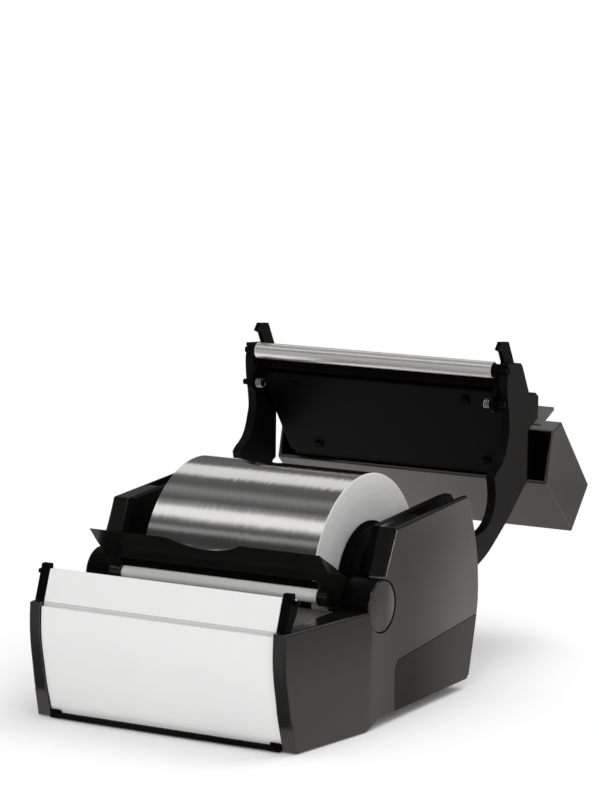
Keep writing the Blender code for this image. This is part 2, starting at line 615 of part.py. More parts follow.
def build_front():
    """The pale front panel, the lip above it with its two end posts, and the deck behind."""
    bow = [(y + PANEL_SETBACK, z) for y, z in front_curve()]
    bow[0] = (bow[0][0], CHEEK_HEIGHT - PANEL_TOP_DROP)
    foot_y = bow[-1][0] + (bow[-2][0] - bow[-1][0]) * (PANEL_FOOT - bow[-1][1]) / (bow[-2][1] - bow[-1][1])
    bow[-1] = (foot_y, PANEL_FOOT)
    back = offset_line(bow, -PANEL_THICKNESS)
    back[0] = (back[0][0], bow[0][1])
    back[-1] = (back[-1][0], bow[-1][1])
    adopt(slab("front_panel", bow + back[::-1], -PANEL_HALF, PANEL_HALF), "body", "panel")

    front_face = [(LIP_FOOT_Y, LIP_FOOT_Z), (LIP_TOP_Y, LIP_TOP_Z)]
    crest = (LIP_TOP_Y + LIP_THICKNESS, LIP_TOP_Z)
    fall = (crest[0] + (LIP_TOP_Z - PLATEN_Z) / 2, PLATEN_Z)
    under = PLATEN_Z - LIP_THICKNESS / 2
    lip = front_face + [crest, fall, (PLATEN_BACK, PLATEN_Z), (PLATEN_BACK, under),
                        (fall[0] - LIP_THICKNESS / 2, under),
                        (LIP_FOOT_Y + LIP_THICKNESS, LIP_FOOT_Z)]
    adopt(slab("front_lip", lip, -PANEL_HALF, PANEL_HALF), "body", "panel")

    post_top = LIP_TOP_Z + LIP_END_RISE
    lean = (LIP_TOP_Y - LIP_FOOT_Y) / (LIP_TOP_Z - LIP_FOOT_Z)
    foot_z = CHEEK_HEIGHT + GAP
    top_y = LIP_TOP_Y + lean * LIP_END_RISE
    nub_y = top_y + LIP_END_NUB
    back_y = top_y + LIP_END_DEPTH
    shelf_z = PLATEN_Z - 2 * GAP
    post = [(LIP_FOOT_Y - lean * (LIP_FOOT_Z - foot_z), foot_z), (top_y, post_top),
            (nub_y, post_top), (nub_y, shelf_z), (back_y, shelf_z),
            (back_y - LIP_END_RISE / 2, shelf_z - 2 * LIP_END_RISE), (LIP_FOOT_Y + LIP_END_DEPTH, foot_z)]
    for word, side in SIDES:
        end = side_slab(f"lip_end_{word}", post, PANEL_HALF + GAP, FRAME_HALF, side)
        adopt(end, "body", "black")
        catch = side_rod(f"lip_end_catch_{word}", CATCH_RADIUS, FRAME_HALF - LATCH_THICKNESS, HOOK_OUTER,
                         CATCH_Y, CATCH_Z, side, CATCH_SEGMENTS)
        shape_with(end, adopt(catch, "body"), "UNION")

    web_foot = GROUND_CLEARANCE + PAN_THICKNESS + GAP
    deck = [(DECK_FRONT, DECK_TOP), (DECK_FRONT, DECK_TOP - DECK_THICKNESS),
            (DECK_BACK - DECK_THICKNESS, DECK_TOP - DECK_THICKNESS),
            (DECK_BACK - DECK_THICKNESS, web_foot), (DECK_BACK, web_foot), (DECK_BACK, DECK_TOP)]
    adopt(slab("deck", deck, -PANEL_HALF, PANEL_HALF), "body", "black")


def build_cradles():
    """The two saddles on the floor pan in which the roll's hubs turn."""
    seat = HUB_DRUM_RADIUS + CRADLE_CLEARANCE
    outer = seat + CRADLE_WALL
    foot = PAN_REAR_TOP + GAP
    outline = (arc((ROLL_Y, ROLL_Z), seat, 180.0, 360.0, 2 * ARC_SEGMENTS)
               + [(ROLL_Y + outer, ROLL_Z), (ROLL_Y + outer, foot), (ROLL_Y - outer, foot),
                  (ROLL_Y - outer, ROLL_Z)])
    for word, side in SIDES:
        cradle = side_slab(f"roll_cradle_{word}", outline, CRADLE_INNER_X,
                           CRADLE_INNER_X + CRADLE_THICKNESS, side)
        adopt(cradle, "body", "black")


def build_guide():
    """The curved guide over the foil's path, its two round hubs and its bright rod."""
    rise = GUIDE_TIP_Z - HUB_Z
    run = HUB_Y - GUIDE_TIP_Y
    spots = [(GUIDE_TIP_Y + share_y * run, HUB_Z + share_z * rise)
             for share_y, share_z in GUIDE_CURVE_SHARES]
    front = curve_through(spots)
    outline = front + arc((HUB_Y, HUB_Z), GUIDE_ARM_RADIUS, 200.0, 400.0)
    outline.append((spots[1][0] + 3 * GUIDE_THICKNESS, spots[1][1]))
    half = CHEEK_INNER_HALF - GAP
    inner = half - GUIDE_BRACKET
    guide = adopt(slab("foil_guide", outline, -half, half), "guide", "black")
    foot_z = HUB_Z + GUIDE_SHEET_FOOT_SHARE * rise
    back = offset_line([spot for spot in front if spot[1] > foot_z], -GUIDE_THICKNESS)
    foot_y = back[-1][0]
    crest = (back[0][0], back[0][1] + OVERRUN)
    hollow = ([(foot_y - OVERRUN, back[-1][1])] + back[:0:-1]
              + [back[0], crest, (HUB_Y + 2 * OVERRUN, crest[1]),
                 (HUB_Y + 2 * OVERRUN, HUB_Z - 2 * OVERRUN), (foot_y - OVERRUN, HUB_Z - 2 * OVERRUN)])
    shape_with(guide, adopt(slab("guide_hollow", hollow, -inner, inner), "guide"))
    for word, side in SIDES:
        lug = side_rod(f"guide_lug_{word}", ROD_RADIUS + GUIDE_THICKNESS / 2, inner + GAP,
                       inner + ROD_AXLE + GUIDE_THICKNESS / 2, ROD_Y, ROD_Z, side)
        shape_with(guide, adopt(lug, "guide"), "UNION")
        bore = side_rod(f"guide_bore_{word}", ROD_AXLE_RADIUS + GAP, inner - OVERRUN,
                        inner + ROD_AXLE, ROD_Y, ROD_Z, side)
        shape_with(guide, adopt(bore, "guide"))
        hub = side_rod(f"guide_hub_{word}", GUIDE_HUB_RADIUS, CHEEK_INNER_HALF,
                       REAR_HALF_WIDTH - GAP, HUB_Y, HUB_Z, side, HUB_SEGMENTS)
        adopt(hub, "guide", "casing")
    notch_radius = (NOTCH_HALF_WIDTH ** 2 + NOTCH_DEPTH ** 2) / (2 * NOTCH_DEPTH)
    notch = pad("guide_notch", notch_radius, 0.0, 0.0, -OVERRUN, OVERRUN, ROLL_SEGMENTS)
    notch.rotation_euler = (math.pi / 2, 0.0, 0.0)
    notch.location = (0.0, GUIDE_TIP_Y, GUIDE_TIP_Z + notch_radius - NOTCH_DEPTH)
    shape_with(guide, adopt(notch, "guide"))

    end = inner - GAP
    tip = inner + ROD_AXLE - GAP
    profile = [(-tip, 0.0), (-tip, ROD_AXLE_RADIUS), (-end, ROD_AXLE_RADIUS), (-end, ROD_RADIUS),
               (end, ROD_RADIUS), (end, ROD_AXLE_RADIUS), (tip, ROD_AXLE_RADIUS), (tip, 0.0)]
    adopt(turned("guide_rod", profile, ROD_Y, ROD_Z, ROUND_SEGMENTS), "guide", "steel")


def build_head_arms():
    """The two arms: side plates of the head that bend round and dive into the towers."""
    center = (HINGE_Y, HINGE_Z)
    outline = (scaled(ARM_FRONT_SHARES, DEPTH, HEAD_TOP) + scaled(ARM_OUTER_SHARES, DEPTH, HEAD_TOP)
               + arc(center, ARM_BOSS_RADIUS, 25.0, -200.0, 2 * ARC_SEGMENTS)
               + scaled(ARM_INNER_SHARES, DEPTH, HEAD_TOP))
    holes = (("hinge", HINGE_Y, HINGE_Z, HINGE_PIN_RADIUS),
             ("roller", ROLLER_Y, ROLLER_Z, ROLLER_AXLE_RADIUS),
             ("latch", LATCH_Y, LATCH_Z, LATCH_PIN_RADIUS))
    for word, side in SIDES:
        arm = adopt(side_slab(f"head_arm_{word}", outline, ARM_INNER, ARM_OUTER, side), "head", "casing")
        for label, y, z, radius in holes:
            bore = side_rod(f"arm_{label}_bore_{word}", radius + PIN_CLEARANCE, ARM_INNER - OVERRUN,
                            ARM_OUTER + OVERRUN, y, z, side)
            shape_with(arm, adopt(bore, "head"))
        for label, (y, z) in zip(("lower", "upper"), scaled(SPACER_SHARES, DEPTH, HEAD_TOP)):
            spacer = side_rod(f"arm_{label}_spacer_{word}", SPACER_RADIUS, FRAME_HALF + GAP,
                              ARM_INNER + ARM_THICKNESS / 2, y, z, side, CATCH_SEGMENTS)
            shape_with(arm, adopt(spacer, "head"), "UNION")


def build_head_frame():
    """The channel between the arms, closed at the back by a cover held by four screws."""
    outline = scaled(FRAME_SHARES, DEPTH, HEAD_TOP)
    frame = adopt(slab("head_frame", outline, -FRAME_HALF, FRAME_HALF), "head", "black")
    foot, top, crown, brow, chest, belly, toe = outline
    half = FRAME_HALF - FRAME_WALL
    rib = top[1] - 2 * FRAME_WALL
    lower = [(foot[0] + OVERRUN, foot[1] + FRAME_WALL), (top[0] + OVERRUN, rib), (chest[0] + FRAME_WALL, rib),
             (chest[0] + FRAME_WALL, chest[1]), (belly[0] + FRAME_WALL, belly[1]),
             (toe[0] + FRAME_WALL, toe[1] + FRAME_WALL)]
    shape_with(frame, adopt(slab("frame_lower_hollow", lower, -half, half), "head"))
    ledge = top[1] + 2 * FRAME_WALL
    upper = [(brow[0] + FRAME_WALL, ledge), (top[0] + OVERRUN, ledge),
             (crown[0] + OVERRUN, crown[1] - FRAME_WALL), (brow[0] + FRAME_WALL, brow[1] - FRAME_WALL)]
    shape_with(frame, adopt(slab("frame_upper_hollow", upper, -half, half), "head"))

    run = Vector((top[0] - foot[0], top[1] - foot[1]))
    out = Vector((run.y, -run.x)).normalized()
    low = Vector(foot) + run * COVER_FOOT_SHARE + out * GAP
    high = Vector(foot) + run * COVER_HEAD_SHARE + out * GAP
    corners = [low, low + out * COVER_THICKNESS, high + out * COVER_THICKNESS, high]
    cover = slab("head_inner_cover", [tuple(corner) for corner in corners], -FRAME_HALF, FRAME_HALF)
    adopt(cover, "head", "black")
    tilt = math.atan2(out.y, out.x)
    for word, side in SIDES:
        for label, share in zip(("lower", "upper"), SCREW_RISE_SHARES):
            spot = Vector(foot) + run * share + out * (2 * GAP + COVER_THICKNESS)
            screw = pad(f"cover_screw_{label}_{word}", SCREW_RADIUS, 0.0, 0.0, 0.0, SCREW_HEAD)
            screw.data.transform(Matrix.Translation((0.0, 0.0, SCREW_HEAD / 2)))
            screw.rotation_euler = (tilt - math.pi / 2, 0.0, 0.0)
            screw.location = (side * SCREW_HALF_SPACING, spot.x, spot.y)
            adopt(screw, "head", "black")


def build_hood():
    """The hollow hood on top of the head, and the fin under its front edge."""
    outline = scaled(HOOD_SHARES, DEPTH, HEAD_TOP)
    hood = adopt(slab("head_hood", outline, -REAR_HALF_WIDTH, REAR_HALF_WIDTH), "head", "casing")
    front_low, front_high, back_high, back_low, mouth = outline
    hollow = [(front_low[0] + 2 * HOOD_WALL, front_low[1]),
              (front_high[0] + HOOD_WALL, front_high[1] - HOOD_WALL),
              (back_high[0] - HOOD_WALL, back_high[1] - HOOD_WALL),
              (back_low[0] - HOOD_WALL, back_low[1]),
              (back_low[0] - HOOD_WALL, back_low[1] - OVERRUN),
              (mouth[0], mouth[1] - OVERRUN), (mouth[0], mouth[1] + HOOD_WALL)]
    inner_half = REAR_HALF_WIDTH - HOOD_WALL
    shape_with(hood, adopt(slab("hood_hollow", hollow, -inner_half, inner_half), "head"))
    fin = slab("front_fin", scaled(FIN_SHARES, DEPTH, HEAD_TOP), -ARM_OUTER, ARM_OUTER)
    adopt(fin, "head", "casing")


def build_blade():
    """The toothed blade along the front of the head and the bar that clamps it."""
    pitch = 2 * BLADE_HALF / BLADE_TEETH
    outline = [(BLADE_HALF, BLADE_HEIGHT), (-BLADE_HALF, BLADE_HEIGHT)]
    for tooth in range(BLADE_TEETH):
        start = -BLADE_HALF + tooth * pitch
        outline.append((start, BLADE_TOOTH))
        outline.append((start + pitch / 2, 0.0))
    outline.append((BLADE_HALF, BLADE_TOOTH))
    blade = slab("cutter_blade", outline, -BLADE_THICKNESS / 2, BLADE_THICKNESS / 2)
    blade.data.transform(Matrix.Rotation(-math.pi / 2, 4, "Z"))
    front = scaled(FRAME_SHARES[-2:], DEPTH, HEAD_TOP)
    lean = math.atan2(front[0][0] - front[1][0], front[0][1] - front[1][1])
    offset = BLADE_THICKNESS / 2 + GAP
    blade.rotation_euler = (-lean, 0.0, 0.0)
    place = Vector((0.0, front[1][0] - offset, front[1][1] - BLADE_TOOTH))
    blade.location = place
    adopt(blade, "head", "steel")
    clamp = block("blade_clamp", (-BLADE_HALF, -CLAMP_THICKNESS, BLADE_HEIGHT - CLAMP_HEIGHT),
                  (BLADE_HALF, 0.0, BLADE_HEIGHT))
    clamp.data.transform(Matrix.Translation((0.0, -offset, 0.0)))
    clamp.rotation_euler = (-lean, 0.0, 0.0)
    clamp.location = place
    adopt(clamp, "head", "black")


def build_head_roller():
    """The bright roller at the mouth of the head, with its two axle ends."""
    end = FRAME_HALF
    tip = ARM_OUTER - GAP
    profile = [(-tip, 0.0), (-tip, ROLLER_AXLE_RADIUS), (-end, ROLLER_AXLE_RADIUS), (-end, ROLLER_RADIUS),
               (end, ROLLER_RADIUS), (end, ROLLER_AXLE_RADIUS), (tip, ROLLER_AXLE_RADIUS), (tip, 0.0)]
    adopt(turned("head_roller", profile, ROLLER_Y, ROLLER_Z, ROUND_SEGMENTS), "head", "steel")


def build_latches():
    """The two hooks that hold the head down, each on its own sprung pin."""
    eye = arc((LATCH_Y, LATCH_Z), LATCH_EYE_RADIUS, 110.0, -110.0)
    outline = scaled(HOOK_SHARES, DEPTH, HEAD_TOP) + eye
    for word, side in SIDES:
        make_pivot(f"latch_{word}_axis", LATCH_Y, LATCH_Z, "head")
        hook = side_slab(f"latch_hook_{word}", outline, HOOK_INNER, HOOK_OUTER, side)
        adopt(hook, f"latch_{word}_axis", "black")
        bore = side_rod(f"latch_bore_{word}", LATCH_PIN_RADIUS + PIN_CLEARANCE, HOOK_INNER - OVERRUN,
                        HOOK_OUTER + OVERRUN, LATCH_Y, LATCH_Z, side)
        shape_with(hook, adopt(bore, f"latch_{word}_axis"))
        pin = side_rod(f"latch_pin_{word}", LATCH_PIN_RADIUS, LATCH_PIN_INNER_HALF, ARM_OUTER - GAP,
                       LATCH_Y, LATCH_Z, side)
        adopt(pin, "head", "steel")
        build_latch_spring(word, side)


def build_latch_spring(word, side):
    """The small coil round a latch pin, one unbroken wire."""
    count = SPRING_CURLS * SPRING_CURL_POINTS
    start = HOOK_INNER - GAP - SPRING_WIRE_RADIUS
    points = []
    for step in range(count + 1):
        angle = 2 * math.pi * step / SPRING_CURL_POINTS
        along = start - SPRING_PITCH * step / SPRING_CURL_POINTS
        points.append(Vector((side * along, SPRING_RADIUS * math.cos(angle),
                              SPRING_RADIUS * math.sin(angle))))
    least = min((points[first] - points[second]).length
                for first in range(count + 1) for second in range(first + SPRING_CURL_POINTS // 2, count + 1))
    print(f"latch_spring_{word}: least gap to itself {(least - 2 * SPRING_WIRE_RADIUS) * 1000:.2f} mm")
    curve = bpy.data.curves.new(f"latch_spring_{word}", "CURVE")
    curve.dimensions = "3D"
    curve.bevel_depth = SPRING_WIRE_RADIUS
    curve.bevel_resolution = 1
    curve.use_fill_caps = True
    spline = curve.splines.new("POLY")
    spline.points.add(count)
    for point, place in zip(spline.points, points):
        point.co = (*place, 1.0)
    holder = bpy.data.objects.new(f"latch_spring_{word}", curve)
    bpy.context.scene.collection.objects.link(holder)
    mesh = bpy.data.meshes.new_from_object(holder.evaluated_get(bpy.context.evaluated_depsgraph_get()))
    bpy.data.objects.remove(holder, do_unlink=True)
    tidy_mesh(mesh)
    spring = bpy.data.objects.new(f"latch_spring_{word}", mesh)
    spring.location = (0.0, LATCH_Y, LATCH_Z)
    adopt(smooth(spring), "head", "steel")


def build_roll():
    """The wound foil on its card core, with a stepped hub in each end."""
    half = FOIL_WIDTH / 2
    inner = CORE_RADIUS + GAP
    winding = [(-half, FOIL_RADIUS), (half, FOIL_RADIUS), (half, inner), (-half, inner)]
    adopt(turned("foil_winding", winding, ROLL_Y, ROLL_Z, ROLL_SEGMENTS, True), "roll", "foil")
    bore = CORE_RADIUS - CORE_WALL
    core = [(-half, CORE_RADIUS), (half, CORE_RADIUS), (half, bore), (-half, bore)]
    adopt(turned("roll_core", core, ROLL_Y, ROLL_Z, HUB_SEGMENTS, True), "roll", "core")
    plug = bore - GAP
    start = half + GAP
    end = half + HUB_REACH
    floor = end - HUB_DISH
    profile = [(start - HUB_PLUG, 0.0), (start - HUB_PLUG, plug), (start, plug), (start, HUB_FLANGE_RADIUS),
               (start + HUB_FLANGE, HUB_FLANGE_RADIUS), (start + HUB_FLANGE, HUB_DRUM_RADIUS),
               (end, HUB_DRUM_RADIUS), (end, HUB_DISH_RADIUS + HUB_LIP), (floor, HUB_DISH_RADIUS),
               (floor, HUB_BORE_RADIUS + HUB_LIP), (end - HUB_LIP, HUB_BORE_RADIUS + HUB_LIP),
               (end - HUB_LIP, HUB_BORE_RADIUS), (start, HUB_BORE_RADIUS), (start, 0.0)]
    for word, side in SIDES:
        points = [(side * along, radius) for along, radius in profile]
        adopt(turned(f"roll_hub_{word}", points, ROLL_Y, ROLL_Z, HUB_SEGMENTS), "roll", "black")


def stand_on_origin():
    """Move the whole part so that the origin lies under the middle of its footprint."""
    bpy.context.view_layer.update()
    graph = bpy.context.evaluated_depsgraph_get()
    places = []
    for thing in PARTS.objects:
        if thing.type != "MESH":
            continue
        evaluated = thing.evaluated_get(graph)
        places.extend((evaluated.matrix_world @ vertex.co).y for vertex in evaluated.data.vertices)
    body = PIVOTS["body"][0]
    body.location.y -= (min(places) + max(places)) / 2
    bpy.context.view_layer.update()


def main():
    """Build every sub-part, swing the head open and set the part on its origin."""
    make_pivot("body", 0.0, 0.0)
    make_pivot("guide", HUB_Y, HUB_Z, "body")
    make_pivot("head", HINGE_Y, HINGE_Z, "body", -OPEN_ANGLE)
    make_pivot("roll", ROLL_Y, ROLL_Z, "body")
    build_side_casings()
    build_tower_walls()
    build_rear()
    build_pan()
    build_front()
    build_cradles()
    build_guide()
    build_head_arms()
    build_head_frame()
    build_hood()
    build_blade()
    build_head_roller()
    build_latches()
    build_roll()
    stand_on_origin()


main()
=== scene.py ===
"""The looks of the foil dispenser: its finishes, finer pieces, floor, light and camera."""

import json
import math

import bmesh
import bpy
from mathutils import Matrix, Vector

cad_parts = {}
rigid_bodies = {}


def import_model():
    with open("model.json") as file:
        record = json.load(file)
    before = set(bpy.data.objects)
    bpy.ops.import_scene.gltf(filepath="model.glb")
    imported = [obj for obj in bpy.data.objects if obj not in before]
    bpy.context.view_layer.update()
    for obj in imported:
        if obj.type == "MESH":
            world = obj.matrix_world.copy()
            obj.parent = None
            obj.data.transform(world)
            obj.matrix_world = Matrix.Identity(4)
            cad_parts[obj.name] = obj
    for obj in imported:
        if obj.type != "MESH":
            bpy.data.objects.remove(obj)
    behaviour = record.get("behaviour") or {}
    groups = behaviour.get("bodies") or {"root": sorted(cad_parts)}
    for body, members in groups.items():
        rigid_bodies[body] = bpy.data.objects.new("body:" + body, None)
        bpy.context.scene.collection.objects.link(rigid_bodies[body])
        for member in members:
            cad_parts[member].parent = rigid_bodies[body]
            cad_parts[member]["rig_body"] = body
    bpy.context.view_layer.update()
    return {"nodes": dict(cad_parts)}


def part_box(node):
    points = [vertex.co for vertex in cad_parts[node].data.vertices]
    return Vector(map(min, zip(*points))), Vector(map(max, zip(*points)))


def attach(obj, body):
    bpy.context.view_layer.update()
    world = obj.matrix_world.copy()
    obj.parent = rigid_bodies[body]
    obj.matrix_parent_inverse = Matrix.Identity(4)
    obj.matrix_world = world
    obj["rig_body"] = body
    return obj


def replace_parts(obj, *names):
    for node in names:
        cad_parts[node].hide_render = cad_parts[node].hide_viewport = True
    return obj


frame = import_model()
NODES = frame["nodes"]
SIDES = (("right", 1), ("left", -1))

# Lengths are in metres and powers in watts, where no other unit is named

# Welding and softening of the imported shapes
WELD = 0.000003
FLAT = math.radians(0.6)
SHARP = math.radians(32.0)
TURNED_SHARP = math.radians(50.0)
SOFT_STEPS = 3
FLAT_FACE_WEIGHT = 100

# Bends of an arm's outline, with the turns in degrees that count as bends
ARM_REACH = 0.0075
ARM_STEPS = 6
ARM_LEAST_SIDE = 0.0045
ARM_TURNS = (4.0, 60.0)

# Rims of a casing's outer face, and how far a face points outward, sideways, up or forward
RIM_REACH = 0.0016
RIM_STEPS = 5
RIM_LEAST_LENGTH = 0.0025
RIM_LEAST_HEIGHT = 0.004
OUTWARD = 0.9
SIDEWAYS = 0.5
UPWARD = 0.3
FORWARD = 0.7

# Turned pieces
TURNS = 144
SMALL_TURNS = 64
CORNER_STEPS = 4
CORNER_SHARE = 0.45

# The winding: rings at its ends, bevelled edges and the step where its sheet ends
RING_PITCH = 0.00055
RING_DEPTH = 0.00010
RING_LEVEL = 0.55
RING_SWING = 0.45
RING_WAVES = (2.4, 0.37)
FOIL_EDGE = 0.00035
FOIL_BEVEL = 0.3
FOIL_STEP = 0.00022
SHEET_END = 0.36

# The card core
CARD_WALL = 0.0026
CARD_ROUNDING = 0.0005

# A roll hub's outline: (from the face, below the flange's rim) for the ridges, (from the
# face, radius) for drum and socket, and (in from the tip, radius) for the dish
HUB_FACE = 0.0503
HUB_PLUG = 0.0261
HUB_RIDGES = ((0.0009, 0.0), (0.0009, 0.0010), (0.0016, 0.0010), (0.0016, 0.0018),
              (0.0025, 0.0018))
HUB_DRUM = ((0.0025, 0.0275), (0.0046, 0.0275), (0.0046, 0.0268), (0.0056, 0.0268),
            (0.0056, 0.0275))
HUB_DISH = ((0.0, 0.0275), (0.0, 0.0237), (0.0012, 0.0229), (0.0012, 0.0222),
            (0.0050, 0.0215), (0.0050, 0.0160), (0.0046, 0.0156), (0.0046, 0.0148),
            (0.0050, 0.0144), (0.0050, 0.0092), (0.0022, 0.0092), (0.0022, 0.0070))
HUB_SOCKET = ((0.0002, 0.0070), (0.0002, 0.0))
HUB_ROUNDING = 0.0009

# Bars with their end bushes, and the round discs on the cheeks
BUSH_LENGTH = 0.0027
BAR_ROUNDING = 0.0004
DISC_ROUNDING = 0.0009
DISC_COLOUR_DEPTH = 0.0012

# Springs on the latch pins
SPRING_WIRE = 0.00038
SPRING_CURLS = 3
SPRING_POINTS = 28
SPRING_SHARE = 0.86
SPRING_GAP = 0.00005
WIRE_SIDES = 12

# Screws of the head's cover, with the bars that cut their cross
SCREW_RADIUS = 0.0026
SCREW_HEIGHT = 0.0012
SCREW_SIDES = 40
SCREW_SPIN = 0.3
SCREW_ROUNDING = 0.00018
SCREW_STEPS = 2
RECESS_SIZE = (0.0030, 0.0006, 0.0010)
RECESS_LIFT = 0.0007

# Trim below the lip: the groove's strip, the sill at the panel's foot, the corner stops
TRIM_GAP = 0.0002
STRIP_DEPTH = 0.0013
STRIP_LEAN = 0.0003
FOOT_BAND = 0.0006
SILL_STEPS = (-0.0008, -0.0003, 0.0010, 0.0010)
SILL_RISE = 0.0011
SILL_FOOT = 0.0008
SILL_END = 0.0030
STOP_OUTLINE = ((-0.0042, 0.0006), (0.0006, 0.0006), (0.0006, 0.0029), (-0.0036, 0.0052))
STOP_LENGTH = 0.0060
STOP_ROUNDING = 0.0004

# The guide's hem, as (y, z) steps from the rod's axis
HEM_OUTLINE = ((0.0012, 0.0036), (0.0024, 0.0030), (0.0026, 0.0050), (0.0008, 0.0072))
HEM_HALF = 0.0600

# The floor: how far round the dispenser it takes shadows, and the painted reflections that gloss
# sees of it
FLOOR_HALF = 6.0
SHADOW_REACH = (0.13, 0.20)
SHADOW_FADE = ((0.40, 0.0), (0.80, 1.0))
# Painted reflections: to gloss the floor glows, dimmer ahead as painted shade, in bright warm
# bands beside
AHEAD_LINE = -0.16
AHEAD_ZONES = ((0.36, 0.34), (0.42, 0.10))
BESIDE_SLOPE = 1.87
BESIDE_ZONES = ((0.05, 0.44), (0.25, 0.52), (0.295, 0.30), (0.34, 0.75), (0.375, 1.4),
                (0.41, 1.0), (0.46, 0.48), (0.58, 0.46), (0.80, 0.80))
OUTER_ZONES = ((0.10, 1.2), (0.17, 1.2), (0.21, 1.05), (0.285, 0.66), (0.33, 1.0))
BESIDE_TINT = (1.0, 0.955, 0.94, 1.0)
FLOOR_WHITE = 0.96

# The studio: its soft light, and its zones for gloss from the front over the top to the back
STUDIO_LEVEL = 0.72
STUDIO_ZONES = ((0.0, 0.20), (0.06, 0.50), (0.115, 0.50), (0.14, 0.04), (0.215, 0.04),
                (0.24, 0.36), (0.27, 0.06), (0.30, 0.16), (0.33, 1.0), (0.38, 1.0),
                (0.405, 0.30), (0.45, 0.08), (0.52, 0.26), (0.57, 0.10), (0.64, 0.12),
                (0.67, 0.80), (0.76, 0.85), (0.80, 0.14), (1.0, 0.10))

# Lamps: name, place, what it looks at, size, power, and whether gloss shows it
LAMPS = (
    ("lamp_above", (0.35, 0.65, 1.2), (0.0, 0.0, 0.05), 1.0, 9.0, False),
    ("lamp_front", (0.2, -1.6, 0.7), (0.0, 0.0, 0.08), 1.0, 5.5, False),
    ("lamp_edge", (1.82, -0.82, 0.73), (0.083, -0.07, 0.08), 0.26, 4.5, True),
)

# The photographed view, its turn and dip in radians, its lens and sensor in millimetres
VIEW_PLACE = (0.84989, -1.455104, 0.41353)
VIEW_TURN = 0.5333
VIEW_DIP = 0.1576
VIEW_LENS = 148.87
VIEW_SENSOR = 36.0
VIEW_END = 40.0


class Wire:
    """An output of a node; an expression on it adds Math nodes."""

    def __init__(self, tree, socket):
        self.tree = tree
        self.socket = socket

    def math(self, operation, *values):
        return self.tree.node("ShaderNodeMath", {"operation": operation}, dict(enumerate(values)))

    def __add__(self, other):
        return self.math("ADD", self, other)

    __radd__ = __add__

    def __sub__(self, other):
        return self.math("SUBTRACT", self, other)

    def __rsub__(self, other):
        return self.math("SUBTRACT", other, self)

    def __mul__(self, other):
        return self.math("MULTIPLY", self, other)

    __rmul__ = __mul__

    def __truediv__(self, other):
        return self.math("DIVIDE", self, other)

    def __rtruediv__(self, other):
        return self.math("DIVIDE", other, self)

    def __pow__(self, other):
        return self.math("POWER", self, other)

    def __rpow__(self, other):
        return self.math("POWER", other, self)

    def __gt__(self, other):
        return self.math("GREATER_THAN", self, other)

    def __lt__(self, other):
        return self.math("LESS_THAN", self, other)

    def ramp(self, *stops):
        """This value read off a ramp of (place, grey) stops."""
        return self.tree.node("ShaderNodeValToRGB", {"stops": stops}, {0: self})


class Tree:
    """A node tree, emptied; every node in it comes from node()."""

    def __init__(self, tree):
        self.tree = tree
        tree.nodes.clear()

    def node(self, kind, settings=None, values=None, out=0):
        """A node with its settings, then the values or links of its sockets."""
        made = self.tree.nodes.new(kind)
        for word, setting in (settings or {}).items():
            if word == "stops":
                self.fill_ramp(made.color_ramp, setting)
            else:
                setattr(made, word, setting)
        for place, value in (values or {}).items():
            if isinstance(value, Wire):
                self.tree.links.new(value.socket, made.inputs[place])
            else:
                made.inputs[place].default_value = value
        return Wire(self, made.outputs[out]) if made.outputs else made

    @staticmethod
    def fill_ramp(ramp, stops):
        while len(ramp.elements) < len(stops):
            ramp.elements.new(1.0)
        for element, (place, level) in zip(ramp.elements, stops):
            element.position = place
            element.color = (level, level, level, 1.0)

    def rest_place(self):
        """A point's place on the piece, which moves with it."""
        return self.node("ShaderNodeTexCoord", out=3)

    def axes(self, place):
        """The three coordinates of a place."""
        split = self.node("ShaderNodeSeparateXYZ", values={0: place})
        return [Wire(self, output) for output in split.socket.node.outputs]

    def angle(self, rise, run):
        """The angle round an axis at which a point lies."""
        return self.node("ShaderNodeMath", {"operation": "ARCTAN2"}, {0: rise, 1: run})

    def noise(self, place, scale, detail, roughness=0.55, distortion=0.0):
        values = {"Vector": place, "Scale": scale, "Detail": detail, "Roughness": roughness,
                  "Distortion": distortion}
        return self.node("ShaderNodeTexNoise", values=values)

    def drawn(self, place, scales, detail, roughness=0.55):
        """Noise with a scale of its own along each of three coordinates."""
        x, y, z = (value * scale for value, scale in zip(place, scales))
        spots = self.node("ShaderNodeCombineXYZ", values={0: x, 1: y, 2: z})
        return self.noise(spots, 1.0, detail, roughness)

    def mix(self, share, low, high):
        """A colour between two others."""
        values = {0: share, 6: low, 7: high}
        return self.node("ShaderNodeMix", {"data_type": "RGBA"}, values, out=2)

    def bump(self, height, distance, strength):
        values = {"Height": height, "Distance": distance, "Strength": strength}
        return self.node("ShaderNodeBump", values=values)

    def rays(self):
        """Whether the camera sends a ray, and whether gloss or glass does."""
        outputs = self.node("ShaderNodeLightPath").socket.node.outputs
        camera = Wire(self, outputs["Is Camera Ray"])
        glossy = Wire(self, outputs["Is Glossy Ray"])
        return camera, glossy + Wire(self, outputs["Is Transmission Ray"])


def grey(level, warmth=0.0):
    """A near-neutral colour, slightly warm or cool."""
    return (level * (1.0 + warmth), level, level * (1.0 - warmth), 1.0)


def new_material(name):
    """A material and its emptied node tree."""
    material = bpy.data.materials.new(name)
    material.use_nodes = True
    return material, Tree(material.node_tree)


def finish(name, build, metallic=0.0, specular=0.5):
    """A material: build(tree) gives what changes over the surface, by socket name."""
    material, tree = new_material(name)
    sockets = {"Metallic": metallic, "Specular IOR Level": specular}
    sockets.update(build(tree))
    shader = tree.node("ShaderNodeBsdfPrincipled", values=sockets)
    tree.node("ShaderNodeOutputMaterial", values={"Surface": shader})
    return material


